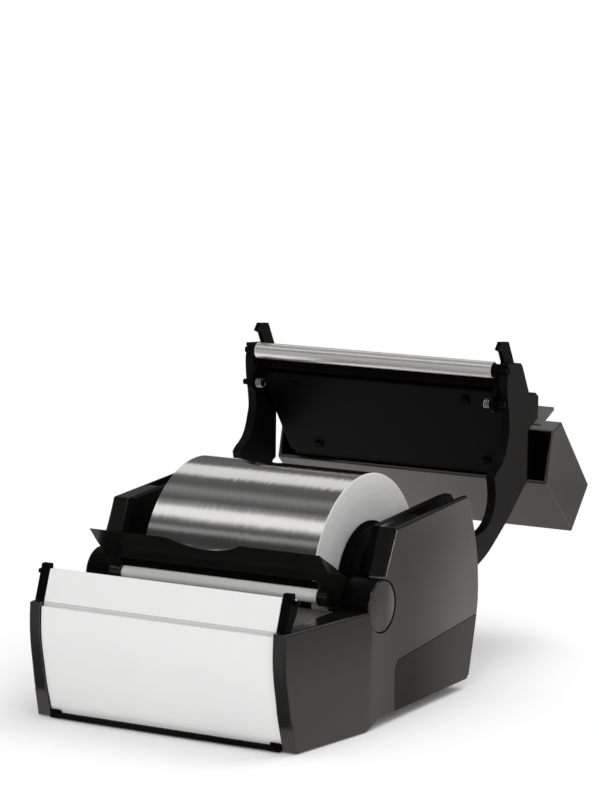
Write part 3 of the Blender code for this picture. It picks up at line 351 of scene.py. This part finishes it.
def casing_looks(tree):
    """Gloss dark plastic: faint flow clouds, fine polish marks and a slight orange peel."""
    place = tree.rest_place()
    clouds = tree.noise(place, 18.0, 4.0)
    fine = tree.noise(place, 900.0, 2.0)
    peel = tree.noise(place, 260.0, 2.0)
    scuffs = tree.noise(place, 70.0, 8.0, roughness=0.75, distortion=1.2)
    scuffed = scuffs.ramp((0.60, 0.0), (0.78, 1.0))
    return {
        "Base Color": tree.mix(clouds, grey(0.0030, 0.08), grey(0.0058, 0.08)),
        "Roughness": 0.12 + clouds * 0.05 + fine * 0.04 + scuffed * 0.08,
        "Normal": tree.bump(peel + fine * 0.25, 0.00002, 0.35),
    }


def black_looks(tree):
    """Black plastic with the fine spark-eroded grain of its mould."""
    place = tree.rest_place()
    grain = tree.noise(place, 1500.0, 2.0)
    clouds = tree.noise(place, 30.0, 4.0)
    wear = tree.noise(place, 140.0, 6.0, roughness=0.7).ramp((0.58, 0.0), (0.80, 1.0))
    return {
        "Base Color": tree.mix(clouds, grey(0.0012, 0.03), grey(0.0026, 0.03)),
        "Roughness": 0.34 + grain * 0.12 + clouds * 0.08 - wear * 0.06,
        "Normal": tree.bump(grain, 0.00003, 0.45),
    }


def panel_looks(tree):
    """Satin white sheet: a very fine paint texture and the faintest smudges."""
    place = tree.rest_place()
    texture = tree.noise(place, 1100.0, 2.0)
    clouds = tree.noise(place, 22.0, 5.0)
    smears = tree.noise(place, 60.0, 6.0, roughness=0.7, distortion=0.6)
    smudges = smears.ramp((0.55, 0.0), (0.85, 1.0))
    return {
        "Base Color": tree.mix(clouds, grey(0.765, 0.003), grey(0.800, 0.003)),
        "Roughness": 0.34 + texture * 0.10 + smudges * 0.10,
        "Normal": tree.bump(texture, 0.00002, 0.30),
    }


def axis_of(node):
    """The middle of a turned node's box, across its axis."""
    low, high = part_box(node)
    return (low.y + high.y) / 2, (low.z + high.z) / 2


def radius_of(node):
    """Half the height of a turned node."""
    low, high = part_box(node)
    return (high.z - low.z) / 2


def reach_of(node):
    """How far from the middle plane a node begins and ends."""
    low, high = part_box(node)
    return sorted((abs(low.x), abs(high.x)))


def turned_metal(node, dark, light, roughness):
    """Looks of metal turned about X: fine rings round it, faint streaks along it."""
    middle_y, middle_z = axis_of(node)

    def build(tree):
        x, y, z = tree.axes(tree.rest_place())
        rings = tree.drawn((x, y, z), (1800.0, 20.0, 20.0), 2.0, 0.5)
        around = tree.angle(z - middle_z, y - middle_y)
        streaks = tree.drawn((around, x, 0.0), (7.0, 14.0, 0.0), 4.0, 0.6)
        return {
            "Base Color": tree.mix(streaks, grey(dark, 0.01), grey(light, 0.01)),
            "Roughness": roughness + rings * 0.16 + streaks * 0.06,
            "Normal": tree.bump(rings, 0.000006, 0.10),
        }
    return build


def steel_looks(tree):
    """Bright small steel: drawn lines along X and slight tarnish."""
    place = tree.rest_place()
    lines = tree.drawn(tree.axes(place), (90.0, 2600.0, 2600.0), 3.0, 0.7)
    tarnish = tree.noise(place, 240.0, 5.0)
    return {
        "Base Color": tree.mix(tarnish, grey(0.50, 0.01), grey(0.72, 0.01)),
        "Roughness": 0.20 + lines * 0.16 + tarnish * 0.08,
        "Normal": tree.bump(lines, 0.00001, 0.4),
    }


def winding_axes(tree):
    """A point's coordinates along the winding's axis and across it."""
    middle_y, middle_z = axis_of("foil_winding")
    x, y, z = tree.axes(tree.rest_place())
    return x, y - middle_y, z - middle_z


def foil_looks(tree):
    """Wound foil: rolling lines round it, and slack ripples that break its reflections."""
    place = winding_axes(tree)
    rolling = tree.drawn(place, (1400.0, 30.0, 30.0), 3.0, 0.7)
    ripples = tree.drawn(place, (380.0, 55.0, 55.0), 2.0, 0.5)
    slack = tree.drawn(place, (12.0, 34.0, 34.0), 2.0, 0.5)
    stains = tree.drawn(place, (60.0, 30.0, 30.0), 5.0)
    waves = slack * 0.55 + ripples * 0.20 + rolling * 0.02
    return {
        "Base Color": tree.mix(stains, grey(0.70, 0.012), grey(0.80, 0.008)),
        "Roughness": 0.055 + rolling * 0.08 + stains * 0.05,
        "Normal": tree.bump(waves, 0.00060, 0.80),
    }


def foil_edge_looks(tree):
    """The ends of the winding: many cut edges of foil, seen as fine rings."""
    x, across_y, across_z = winding_axes(tree)
    radius = (across_y * across_y + across_z * across_z) ** 0.5
    rings = tree.drawn((radius, across_y, across_z), (3600.0, 4.0, 4.0), 3.0, 0.75)
    bands = tree.drawn((radius, 0.0, 0.0), (420.0, 0.0, 0.0), 3.0, 0.6)
    return {
        "Base Color": tree.mix(bands, grey(0.70, 0.005), grey(0.92, 0.005)),
        "Roughness": 0.30 + rings * 0.22,
        "Normal": tree.bump(rings, 0.00003, 0.55),
    }


def core_looks(tree):
    """Grey card: clouded and flecked."""
    place = tree.rest_place()
    flecks = tree.noise(place, 1900.0, 5.0, roughness=0.75)
    clouds = tree.noise(place, 120.0, 5.0)
    return {
        "Base Color": tree.mix(clouds * 0.6 + flecks * 0.4, grey(0.20, 0.03), grey(0.38, 0.03)),
        "Roughness": 0.78 + flecks * 0.15,
        "Normal": tree.bump(flecks, 0.00008, 0.6),
    }


def smoke_looks(tree):
    """Smoke-grey plastic of fin and deck: faintly clouded, with a soft shine."""
    place = tree.rest_place()
    clouds = tree.noise(place, 60.0, 4.0)
    fine = tree.noise(place, 1200.0, 2.0)
    return {
        "Base Color": tree.mix(clouds, grey(0.055, 0.03), grey(0.085, 0.03)),
        "Roughness": 0.28 + fine * 0.08 + clouds * 0.05,
        "Normal": tree.bump(fine, 0.00002, 0.3),
    }


def groove_painted_shade_looks(tree):
    """The strip down in the groove: the panel's paint, greyed with the groove's painted shade and
    faintly mottled.
    """
    place = tree.rest_place()
    dust_and_painted_shade = tree.noise(place, 300.0, 5.0, roughness=0.65)
    return {
        # painted shade: the strip's grey is the shade down in the groove, mottled at random
        "Base Color": tree.mix(dust_and_painted_shade, grey(0.52, 0.003), grey(0.60, 0.003)),
        "Roughness": 0.55 + dust_and_painted_shade * 0.15,
        "Normal": tree.bump(dust_and_painted_shade, 0.00002, 0.3),
    }


def rubber_looks(tree):
    """Dull foot rubber with a dusty bloom."""
    place = tree.rest_place()
    bloom = tree.noise(place, 420.0, 5.0, roughness=0.7)
    return {
        "Base Color": tree.mix(bloom, grey(0.014, 0.02), grey(0.040, 0.02)),
        "Roughness": 0.76 + bloom * 0.16,
        "Normal": tree.bump(bloom, 0.00006, 0.6),
    }


# The finish of each material slot, then the finishes of single pieces
FINISHES = {
    "casing": finish("casing_gloss", casing_looks, specular=0.95),
    "black": finish("black_fine_grain", black_looks, specular=0.04),
    "panel": finish("panel_satin_white", panel_looks),
    "steel": finish("steel_bright", steel_looks, metallic=1.0),
    "foil": finish("foil_bright", foil_looks, metallic=1.0),
    "core": finish("core_card", core_looks),
    "rubber": finish("foot_rubber", rubber_looks),
}
FOIL_ENDS = finish("foil_cut_edges", foil_edge_looks, metallic=0.25)
ROLLER_LOOKS = turned_metal("head_roller", dark=0.78, light=0.90, roughness=0.20)
ROD_LOOKS = turned_metal("guide_rod", dark=0.90, light=0.95, roughness=0.24)
ROLLER_METAL = finish("roller_aluminium", ROLLER_LOOKS, metallic=0.85)
ROD_METAL = finish("rod_aluminium", ROD_LOOKS, metallic=0.30)
SKIRT_GLOSS = finish("skirt_gloss", casing_looks, specular=0.22)
BLACK_GLOSS = finish("black_gloss", casing_looks)
ARM_SATIN = finish("black_satin", black_looks, specular=0.12)
SMOKE = finish("smoke_grey", smoke_looks)
# Painted shade: the groove strip's grey stands for the shade down in the groove
GROOVE_PAINTED_SHADE = finish("groove_painted_shade_grey", groove_painted_shade_looks)


def place_object(name, data):
    """A new object in the scene."""
    made = bpy.data.objects.new(name, data)
    bpy.context.scene.collection.objects.link(made)
    return made


def add_piece(name, mesh, node, slot, *materials):
    """A new piece that stands for a CAD node and moves with its body."""
    for material in materials or (FINISHES[slot],):
        mesh.materials.append(material)
    piece = place_object(name, mesh)
    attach(piece, NODES[node]["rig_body"])
    return piece


def mesh_of(work, name):
    """What has been worked on, as a mesh."""
    mesh = bpy.data.meshes.new(name)
    work.to_mesh(mesh)
    work.free()
    return mesh


def second_material(mesh, wanted):
    """Give the faces that are wanted the second of the mesh's materials."""
    for face in mesh.polygons:
        face.material_index = int(wanted(face))


def round_edges(piece, width, steps=SOFT_STEPS):
    """Round the hard edges of a piece."""
    rounding = piece.modifiers.new("rounded_edges", "BEVEL")
    rounding.width = width
    rounding.segments = steps
    rounding.limit_method = "ANGLE"
    rounding.angle_limit = SHARP
    rounding.harden_normals = True


def welded_mesh(node, name):
    """A node's mesh with its seams welded and its flat faces made whole."""
    work = bmesh.new()
    work.from_mesh(NODES[node].data)
    bmesh.ops.remove_doubles(work, verts=work.verts, dist=WELD)
    bmesh.ops.dissolve_limit(work, angle_limit=FLAT, verts=work.verts, edges=work.edges)
    mesh = mesh_of(work, name)
    if "custom_normal" in mesh.attributes:
        mesh.attributes.remove(mesh.attributes["custom_normal"])
    mesh.shade_smooth()
    return mesh


def arm_bends(edge):
    """The bends of an arm's outline between long sides, which are sweeping curves."""
    first, last = edge.verts
    along_x = abs(first.co.y - last.co.y) + abs(first.co.z - last.co.z) <= WELD
    if not along_x or len(edge.link_faces) != 2:
        return False
    turn = math.degrees(edge.calc_face_angle(0.0))
    sides = [side.calc_length() for end in edge.verts for side in end.link_edges
             if side is not edge]
    return ARM_TURNS[0] < turn < ARM_TURNS[1] and min(sides) > ARM_LEAST_SIDE


def casing_rims(edge):
    """The front and top edges of a side casing's outer face."""
    if len(edge.link_faces) != 2 or edge.calc_length() < RIM_LEAST_LENGTH:
        return False
    side, rim = sorted(edge.link_faces, key=lambda face: -abs(face.normal.x))
    outer = edge.verts[0].co.x * side.normal.x > 0.0 and abs(side.normal.x) > OUTWARD
    high = min(end.co.z for end in edge.verts) > RIM_LEAST_HEIGHT
    turned_away = rim.normal.z > UPWARD or rim.normal.y < -FORWARD
    return outer and high and abs(rim.normal.x) < SIDEWAYS and turned_away


# Corners rounded before the softening: which, how far, in how many steps, and held or free
ROUNDED_CORNERS = {
    "head_arm": (arm_bends, ARM_REACH, ARM_STEPS, True),
    "side_casing": (casing_rims, RIM_REACH, RIM_STEPS, False),
}


def round_corners(mesh, wanted, reach, steps, held):
    """Round the edges of a mesh that are wanted, held back where they would meet or free."""
    work = bmesh.new()
    work.from_mesh(mesh)
    edges = [edge for edge in work.edges if wanted(edge)]
    bmesh.ops.bevel(work, geom=edges, offset=reach, segments=steps, profile=0.5,
                    affect="EDGES", clamp_overlap=held)
    work.to_mesh(mesh)
    work.free()
    mesh.shade_smooth()


def soften(node, slot, edge, material=None):
    """A moulding or pin with its hard edges rounded over, in the shape the CAD gives it."""
    name = node + "_soft"
    piece = add_piece(name, welded_mesh(node, name), node, slot, material or FINISHES[slot])
    corners = ROUNDED_CORNERS.get(node.rsplit("_", 1)[0])
    if corners:
        round_corners(piece.data, *corners)
    round_edges(piece, edge)
    if corners:
        flats = piece.modifiers.new("flat_faces", "WEIGHTED_NORMAL")
        flats.keep_sharp = True
        flats.weight = FLAT_FACE_WEIGHT
    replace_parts(piece, node)


def rounded(profile, radius):
    """A line of (along, radius) points with its inner corners rounded by an arc."""
    points = [Vector(profile[0])]
    for before, corner, after in zip(profile, profile[1:], profile[2:]):
        corner = Vector(corner)
        back = Vector(before) - corner
        forth = Vector(after) - corner
        reach = min(radius, back.length * CORNER_SHARE, forth.length * CORNER_SHARE)
        start = corner + back.normalized() * reach
        end = corner + forth.normalized() * reach
        for step in range(CORNER_STEPS + 1):
            share = step / CORNER_STEPS
            points.append(start.lerp(corner, share).lerp(corner.lerp(end, share), share))
    points.append(Vector(profile[-1]))
    return points


def turned(name, profile, axis, turns=SMALL_TURNS, worn=lambda share, radius: radius):
    """A mesh turned about X from (along, radius) points, which worn() may bring inward."""
    work = bmesh.new()
    rows = []
    for step in range(turns):
        angle = 2.0 * math.pi * step / turns
        row = []
        for along, radius in profile:
            reach = worn(step / turns, radius)
            row.append(work.verts.new((along, axis[0] + reach * math.cos(angle),
                                       axis[1] + reach * math.sin(angle))))
        rows.append(row)
    for here, after in zip(rows, rows[1:] + rows[:1]):
        for first in range(len(profile) - 1):
            work.faces.new((here[first], here[first + 1], after[first + 1], after[first]))
    bmesh.ops.remove_doubles(work, verts=work.verts, dist=WELD)
    bmesh.ops.recalc_face_normals(work, faces=work.faces)
    mesh = mesh_of(work, name)
    mesh.shade_smooth()
    mesh.set_sharp_from_angle(angle=TURNED_SHARP)
    return mesh


def make_winding():
    """The wound foil: fine rings of cut edges at its ends and the step where its sheet ends."""
    low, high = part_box("foil_winding")
    outer = radius_of("foil_winding")
    inner = radius_of("roll_core") + RING_DEPTH
    count = int((outer - inner) / RING_PITCH)
    rings = []
    for ring in range(1, count):
        radius = inner + (outer - inner) * ring / count
        wave = RING_SWING * math.sin(ring * RING_WAVES[0]) * math.cos(ring * RING_WAVES[1])
        rings.append((RING_DEPTH * (RING_LEVEL + wave), radius))
    bevel = FOIL_EDGE * FOIL_BEVEL
    profile = [(low.x + RING_DEPTH, inner)] + [(low.x + depth, radius) for depth, radius in rings]
    profile += [(low.x + bevel, outer - FOIL_EDGE), (low.x + FOIL_EDGE, outer),
                (high.x - FOIL_EDGE, outer), (high.x - bevel, outer - FOIL_EDGE)]
    profile += [(high.x - depth, radius) for depth, radius in reversed(rings)]
    profile += [(high.x - RING_DEPTH, inner), (low.x + RING_DEPTH, inner)]

    def sheet_end(share, radius):
        fall = FOIL_STEP * (share + SHEET_END) % FOIL_STEP
        return radius - fall if radius > outer - 2 * FOIL_EDGE else radius

    name = "foil_winding_rings"
    mesh = turned(name, profile, axis_of("foil_winding"), TURNS, sheet_end)
    piece = add_piece(name, mesh, "foil_winding", "foil", FINISHES["foil"], FOIL_ENDS)
    second_material(mesh, lambda face: abs(face.normal.x) > SIDEWAYS)
    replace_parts(piece, "foil_winding")


def make_core():
    """The card core, with its cut ends just rounded."""
    low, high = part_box("roll_core")
    outer = radius_of("roll_core")
    loop = [(low.x, outer - CARD_WALL / 2), (low.x, outer), (high.x, outer),
            (high.x, outer - CARD_WALL), (low.x, outer - CARD_WALL),
            (low.x, outer - CARD_WALL / 2)]
    mesh = turned("roll_core_card", rounded(loop, CARD_ROUNDING), axis_of("roll_core"), TURNS)
    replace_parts(add_piece("roll_core_card", mesh, "roll_core", "core"), "roll_core")


def make_roll_hubs():
    """The two stepped hubs: ridged flange, thick drum, dish with a fine ring and a socket."""
    for word, side in SIDES:
        node = "roll_hub_" + word
        flange = radius_of(node)
        root, tip = reach_of(node)
        line = [(root, 0.0), (root, HUB_PLUG), (HUB_FACE, HUB_PLUG), (HUB_FACE, flange)]
        line += [(HUB_FACE + step, flange - drop) for step, drop in HUB_RIDGES]
        line += [(HUB_FACE + step, radius) for step, radius in HUB_DRUM]
        line += [(tip - step, radius) for step, radius in HUB_DISH]
        line += [(HUB_FACE + step, radius) for step, radius in HUB_SOCKET]
        profile = [(side * along, radius) for along, radius in rounded(line, HUB_ROUNDING)]
        mesh = turned(node + "_turned", profile, axis_of(node), TURNS)
        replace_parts(add_piece(node + "_turned", mesh, node, "black"), node)


# Each bar: its node, its metal, how far its axle stands out, and the radii of axle and bush
BARS = (
    ("guide_rod", ROD_METAL, 0.0047, 0.0016, 0.0016),
    ("head_roller", ROLLER_METAL, 0.0077, 0.0018, 0.0034),
)


def make_bars():
    """The guide's bright rod and the head's roller, with shoulders and dark end bushes."""
    for node, metal, reach, axle, bush in BARS:
        tip = reach_of(node)[1]
        shoulder = tip - reach
        half = [(tip, 0.0), (tip, axle), (shoulder + BUSH_LENGTH, axle),
                (shoulder + BUSH_LENGTH, bush), (shoulder, bush), (shoulder, radius_of(node))]
        line = half + [(-along, ring) for along, ring in reversed(half)]
        mesh = turned(node + "_bar", rounded(line, BAR_ROUNDING), axis_of(node))
        piece = add_piece(node + "_bar", mesh, node, "steel", metal, FINISHES["black"])
        second_material(mesh, lambda face: abs(face.center.x) > shoulder)
        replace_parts(piece, node)


def make_guide_hubs():
    """The round discs on the cheeks: each with a rounded rim, on a black barrel."""
    for word, side in SIDES:
        node = "guide_hub_" + word
        radius = radius_of(node)
        root, tip = reach_of(node)
        line = [(root, 0.0), (root, radius), (tip, radius), (tip, 0.0)]
        profile = [(side * along, reach) for along, reach in rounded(line, DISC_ROUNDING)]
        mesh = turned(node + "_disc", profile, axis_of(node), TURNS)
        piece = add_piece(node + "_disc", mesh, node, "casing", FINISHES["casing"],
                          FINISHES["black"])
        second_material(mesh, lambda face: abs(face.center.x) < tip - DISC_COLOUR_DEPTH)
        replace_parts(piece, node)


def tube(name, points, radius):
    """A round wire along a line of points."""
    work = bmesh.new()
    rows = []
    for index, point in enumerate(points):
        along = points[min(index + 1, len(points) - 1)] - points[max(index - 1, 0)]
        along.normalize()
        first = along.cross(Vector((1.0, 0.0, 0.0))).normalized()
        second = along.cross(first)
        row = []
        for step in range(WIRE_SIDES):
            angle = 2.0 * math.pi * step / WIRE_SIDES
            offset = (first * math.cos(angle) + second * math.sin(angle)) * radius
            row.append(work.verts.new(point + offset))
        rows.append(row)
    for here, after in zip(rows, rows[1:]):
        for step in range(WIRE_SIDES):
            follow = (step + 1) % WIRE_SIDES
            work.faces.new((here[step], here[follow], after[follow], after[step]))
    work.faces.new(rows[0])
    work.faces.new(rows[-1])
    bmesh.ops.recalc_face_normals(work, faces=work.faces)
    mesh = mesh_of(work, name)
    mesh.shade_smooth()
    return mesh


def make_springs():
    """The small coils round the latch pins, in finely drawn wire."""
    for word, side in SIDES:
        node = "latch_spring_" + word
        root, tip = reach_of(node)
        axis = axis_of(node)
        coil = radius_of(node) * SPRING_SHARE - SPRING_WIRE
        start = tip - SPRING_WIRE - SPRING_GAP
        end = root + SPRING_WIRE + SPRING_GAP
        count = SPRING_CURLS * SPRING_POINTS
        points = []
        for step in range(count + 1):
            share = step / count
            angle = 2.0 * math.pi * SPRING_CURLS * share
            points.append(Vector((side * (start + (end - start) * share),
                                  axis[0] + coil * math.cos(angle),
                                  axis[1] + coil * math.sin(angle))))
        mesh = tube(node + "_coil", points, SPRING_WIRE)
        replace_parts(add_piece(node + "_coil", mesh, node, "steel"), node)


def facing_of(node, away_from):
    """The middle of a flat round node, and its facing direction away from another node."""
    low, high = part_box(node)
    middle = (low + high) / 2
    best = max(NODES[node].data.polygons, key=lambda face: face.area)
    other_low, other_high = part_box(away_from)
    direction = best.normal.copy()
    if direction.dot(middle - (other_low + other_high) / 2) < 0.0:
        direction.negate()
    return middle, direction


def recess_bar(place, spin):
    """One bar of a screw's cross, as a cutter."""
    work = bmesh.new()
    bmesh.ops.create_cube(work, size=1.0)
    lift = Matrix.Translation((0.0, 0.0, RECESS_LIFT))
    shape = Matrix.Diagonal((*RECESS_SIZE, 1.0))
    bmesh.ops.transform(work, matrix=place @ lift @ Matrix.Rotation(spin, 4, "Z") @ shape,
                        verts=work.verts)
    return place_object("recess_bar", mesh_of(work, "recess_bar"))


def settle(piece):
    """Fix a piece's modifiers into its mesh and drop the cutters they used."""
    graph = bpy.context.evaluated_depsgraph_get()
    mesh = bpy.data.meshes.new_from_object(piece.evaluated_get(graph))
    cutters = [modifier.object for modifier in piece.modifiers]
    piece.modifiers.clear()
    piece.data = mesh
    for cutter in cutters:
        bpy.data.objects.remove(cutter, do_unlink=True)
    mesh.shade_smooth()


def make_screws():
    """The cover's four screws: flat heads with a cross recess and a rounded rim."""
    for word, side in SIDES:
        for label in ("lower", "upper"):
            node = f"cover_screw_{label}_{word}"
            middle, out = facing_of(node, "head_inner_cover")
            name = node + "_head"
            work = bmesh.new()
            bmesh.ops.create_cone(work, cap_ends=True, segments=SCREW_SIDES,
                                  radius1=SCREW_RADIUS, radius2=SCREW_RADIUS,
                                  depth=SCREW_HEIGHT)
            mesh = mesh_of(work, name)
            turn = Vector((0.0, 0.0, 1.0)).rotation_difference(out).to_matrix().to_4x4()
            place = Matrix.Translation(middle) @ turn
            mesh.transform(place)
            piece = add_piece(name, mesh, node, "black")
            mesh.shade_smooth()
            for spin in (SCREW_SPIN, SCREW_SPIN + math.pi / 2):
                cut = piece.modifiers.new("recess", "BOOLEAN")
                cut.object = recess_bar(place, spin)
                cut.solver = "EXACT"
            settle(piece)
            round_edges(piece, SCREW_ROUNDING, SCREW_STEPS)
            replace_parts(piece, node)


def both(stem):
    """The names of the right and the left node of a pair."""
    return [stem + "_" + word for word, side in SIDES]


# Softened nodes: their slot, how far their edges are rounded, and a finish of their own
SOFT_PIECES = (
    ("casing", 0.0008, None, [*both("side_casing"), "head_hood"]),
    ("casing", 0.0008, SKIRT_GLOSS, ["rear_skirt"]),
    ("casing", 0.0003, None, ["rear_wall"]),
    ("casing", 0.0003, SMOKE, ["front_fin"]),
    ("black", 0.0006, ARM_SATIN, both("head_arm")),
    ("black", 0.0004, BLACK_GLOSS, ["foil_guide"]),
    ("black", 0.0005, None, [*both("tower_wall"), "base_pan", *both("lip_end"),
                             *both("roll_cradle"), "head_frame", "head_inner_cover",
                             "blade_clamp", *both("latch_hook")]),
    ("black", 0.0005, SMOKE, ["deck"]),
    ("black", 0.0003, None, both("latch_pin")),
    ("panel", 0.0005, None, ["front_panel", "front_lip"]),
    ("steel", 0.0003, None, both("head_hinge_pin")),
    ("steel", 0.00012, None, ["cutter_blade"]),
    ("rubber", 0.0004, None, both("foot_front") + both("foot_rear")),
)


def bar_mesh(name, outline, low_x, high_x):
    """A bar along X whose section is an outline of (y, z) points."""
    work = bmesh.new()
    ends = [[work.verts.new((along, y, z)) for y, z in outline] for along in (low_x, high_x)]
    for corner in range(len(outline)):
        follow = (corner + 1) % len(outline)
        work.faces.new((ends[0][corner], ends[0][follow], ends[1][follow], ends[1][corner]))
    for end in ends:
        work.faces.new(end)
    bmesh.ops.recalc_face_normals(work, faces=work.faces)
    return mesh_of(work, name)


def make_groove_strip():
    """The pale strip at the bottom of the groove between panel and lip, its grey a painted shade
    of the groove.
    """
    panel_low, panel_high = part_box("front_panel")
    lip_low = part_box("front_lip")[0]
    front = lip_low.y - TRIM_GAP
    back = front + STRIP_DEPTH
    strip = [(front, panel_high.z), (back, panel_high.z), (back + STRIP_LEAN, lip_low.z),
             (front + STRIP_LEAN, lip_low.z)]
    mesh = bar_mesh("groove_strip", strip, panel_low.x + TRIM_GAP, panel_high.x - TRIM_GAP)
    add_piece("groove_strip", mesh, "front_panel", "panel", GROOVE_PAINTED_SHADE)


def make_front_sill():
    """The dark edge of the pan, seen as a line along the foot of the panel."""
    low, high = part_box("front_panel")
    points = NODES["front_panel"].data.vertices
    foot = min(point.co.y for point in points if point.co.z < low.z + FOOT_BAND)
    top = low.z + SILL_RISE
    sill = [(foot + step, height)
            for step, height in zip(SILL_STEPS, (top, SILL_FOOT, SILL_FOOT, top))]
    mesh = bar_mesh("front_sill", sill, low.x + SILL_END, high.x - SILL_END)
    add_piece("front_sill", mesh, "base_pan", "black")


def make_panel_stops():
    """The two dark stops under the corners of the panel."""
    pan_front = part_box("base_pan")[0].y
    panel_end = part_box("front_panel")[1].x
    stop = [(pan_front + step, height) for step, height in STOP_OUTLINE]
    for word, side in SIDES:
        ends = sorted((side * (panel_end - STOP_LENGTH), side * (panel_end - TRIM_GAP)))
        mesh = bar_mesh("panel_stop_" + word, stop, *ends)
        round_edges(add_piece("panel_stop_" + word, mesh, "base_pan", "black"), STOP_ROUNDING)
        mesh.shade_smooth()


def make_guide_hem():
    """The turned-in hem of the guide plate, above the rod and behind it."""
    rod_y, rod_z = axis_of("guide_rod")
    outline = [(rod_y + step, rod_z + rise) for step, rise in HEM_OUTLINE]
    mesh = bar_mesh("guide_hem", outline, -HEM_HALF, HEM_HALF)
    add_piece("guide_hem", mesh, "foil_guide", "black")


def make_pieces():
    """Every piece of the dispenser."""
    for slot, edge, material, nodes in SOFT_PIECES:
        for node in nodes:
            soften(node, slot, edge, material)
    make_winding()
    make_core()
    make_roll_hubs()
    make_bars()
    make_guide_hubs()
    make_springs()
    make_screws()
    make_groove_strip()
    make_front_sill()
    make_panel_stops()
    make_guide_hem()


def make_floor():
    """A pale floor: shadowed near the dispenser, white further off, and to gloss a glow in zones
    of painted reflection.
    """
    work = bmesh.new()
    bmesh.ops.create_grid(work, x_segments=1, y_segments=1, size=FLOOR_HALF)
    mesh = mesh_of(work, "floor")
    material, tree = new_material("floor_white")
    x, y, z = tree.axes(tree.rest_place())
    spread = ((x / SHADOW_REACH[0]) ** 2.0 + (y / SHADOW_REACH[1]) ** 2.0) ** 0.5
    far = (spread * 0.5).ramp(*SHADOW_FADE)
    camera, mirrored = tree.rays()
    ahead = (y * 0.5 + 0.5).ramp(*AHEAD_ZONES)
    beside = (y - x * BESIDE_SLOPE + 0.5).ramp(*BESIDE_ZONES) * x.ramp(*OUTER_ZONES)
    # painted reflections: gloss sees the floor glow, dimmer ahead as painted shade, in bright
    # warm bands beside
    seen = tree.mix(y > AHEAD_LINE, ahead, tree.mix(beside, grey(0.0), BESIDE_TINT))
    plain = tree.mix(camera, seen, grey(1.0))
    glow = tree.node("ShaderNodeEmission", values={"Color": plain, "Strength": 1.0})
    lit = tree.node("ShaderNodeBsdfDiffuse", values={"Color": grey(FLOOR_WHITE)})
    share = camera * far + mirrored
    surface = tree.node("ShaderNodeMixShader", values={0: share, 1: lit, 2: glow})
    tree.node("ShaderNodeOutputMaterial", values={"Surface": surface})
    mesh.materials.append(material)
    floor = place_object("floor", mesh)


def make_surroundings():
    """A white studio: white to the eye, soft even light, bright and dark zones for gloss."""
    world = bpy.data.worlds.new("studio")
    bpy.context.scene.world = world
    world.use_nodes = True
    tree = Tree(world.node_tree)
    x, y, z = tree.axes(tree.node("ShaderNodeTexCoord", out=0))
    zones = (tree.angle(z, y * -1.0) / math.pi).ramp(*STUDIO_ZONES)
    camera, mirrored = tree.rays()
    color = tree.mix(camera, tree.mix(mirrored, grey(STUDIO_LEVEL), zones), grey(1.0))
    back = tree.node("ShaderNodeBackground", values={"Color": color, "Strength": 1.0})
    tree.node("ShaderNodeOutputWorld", values={"Surface": back})


def make_lamps():
    """The square soft lamps, each turned to what it looks at."""
    for name, place, target, size, power, mirrored in LAMPS:
        lamp = bpy.data.lights.new(name, "AREA")
        lamp.shape = "SQUARE"
        lamp.size = size
        lamp.energy = power
        holder = place_object(name, lamp)
        holder.location = place
        ahead = Vector(target) - Vector(place)
        holder.rotation_euler = ahead.to_track_quat("-Z", "Y").to_euler()
        holder.visible_glossy = mirrored


def make_camera():
    """The photograph's view."""
    level = math.cos(VIEW_DIP)
    ahead = Vector((-math.sin(VIEW_TURN) * level, math.cos(VIEW_TURN) * level,
                    -math.sin(VIEW_DIP)))
    across = Vector((math.cos(VIEW_TURN), math.sin(VIEW_TURN), 0.0))
    upward = across.cross(ahead)
    data = bpy.data.cameras.new("view")
    data.lens = VIEW_LENS
    data.sensor_width = VIEW_SENSOR
    data.clip_end = VIEW_END
    camera = place_object("view", data)
    turn = Matrix((across, upward, -ahead)).transposed().to_4x4()
    camera.matrix_world = Matrix.Translation(VIEW_PLACE) @ turn
    bpy.context.scene.camera = camera


bpy.context.scene.view_settings.view_transform = "Standard"
make_pieces()
make_floor()
make_surroundings()
make_lamps()
make_camera()
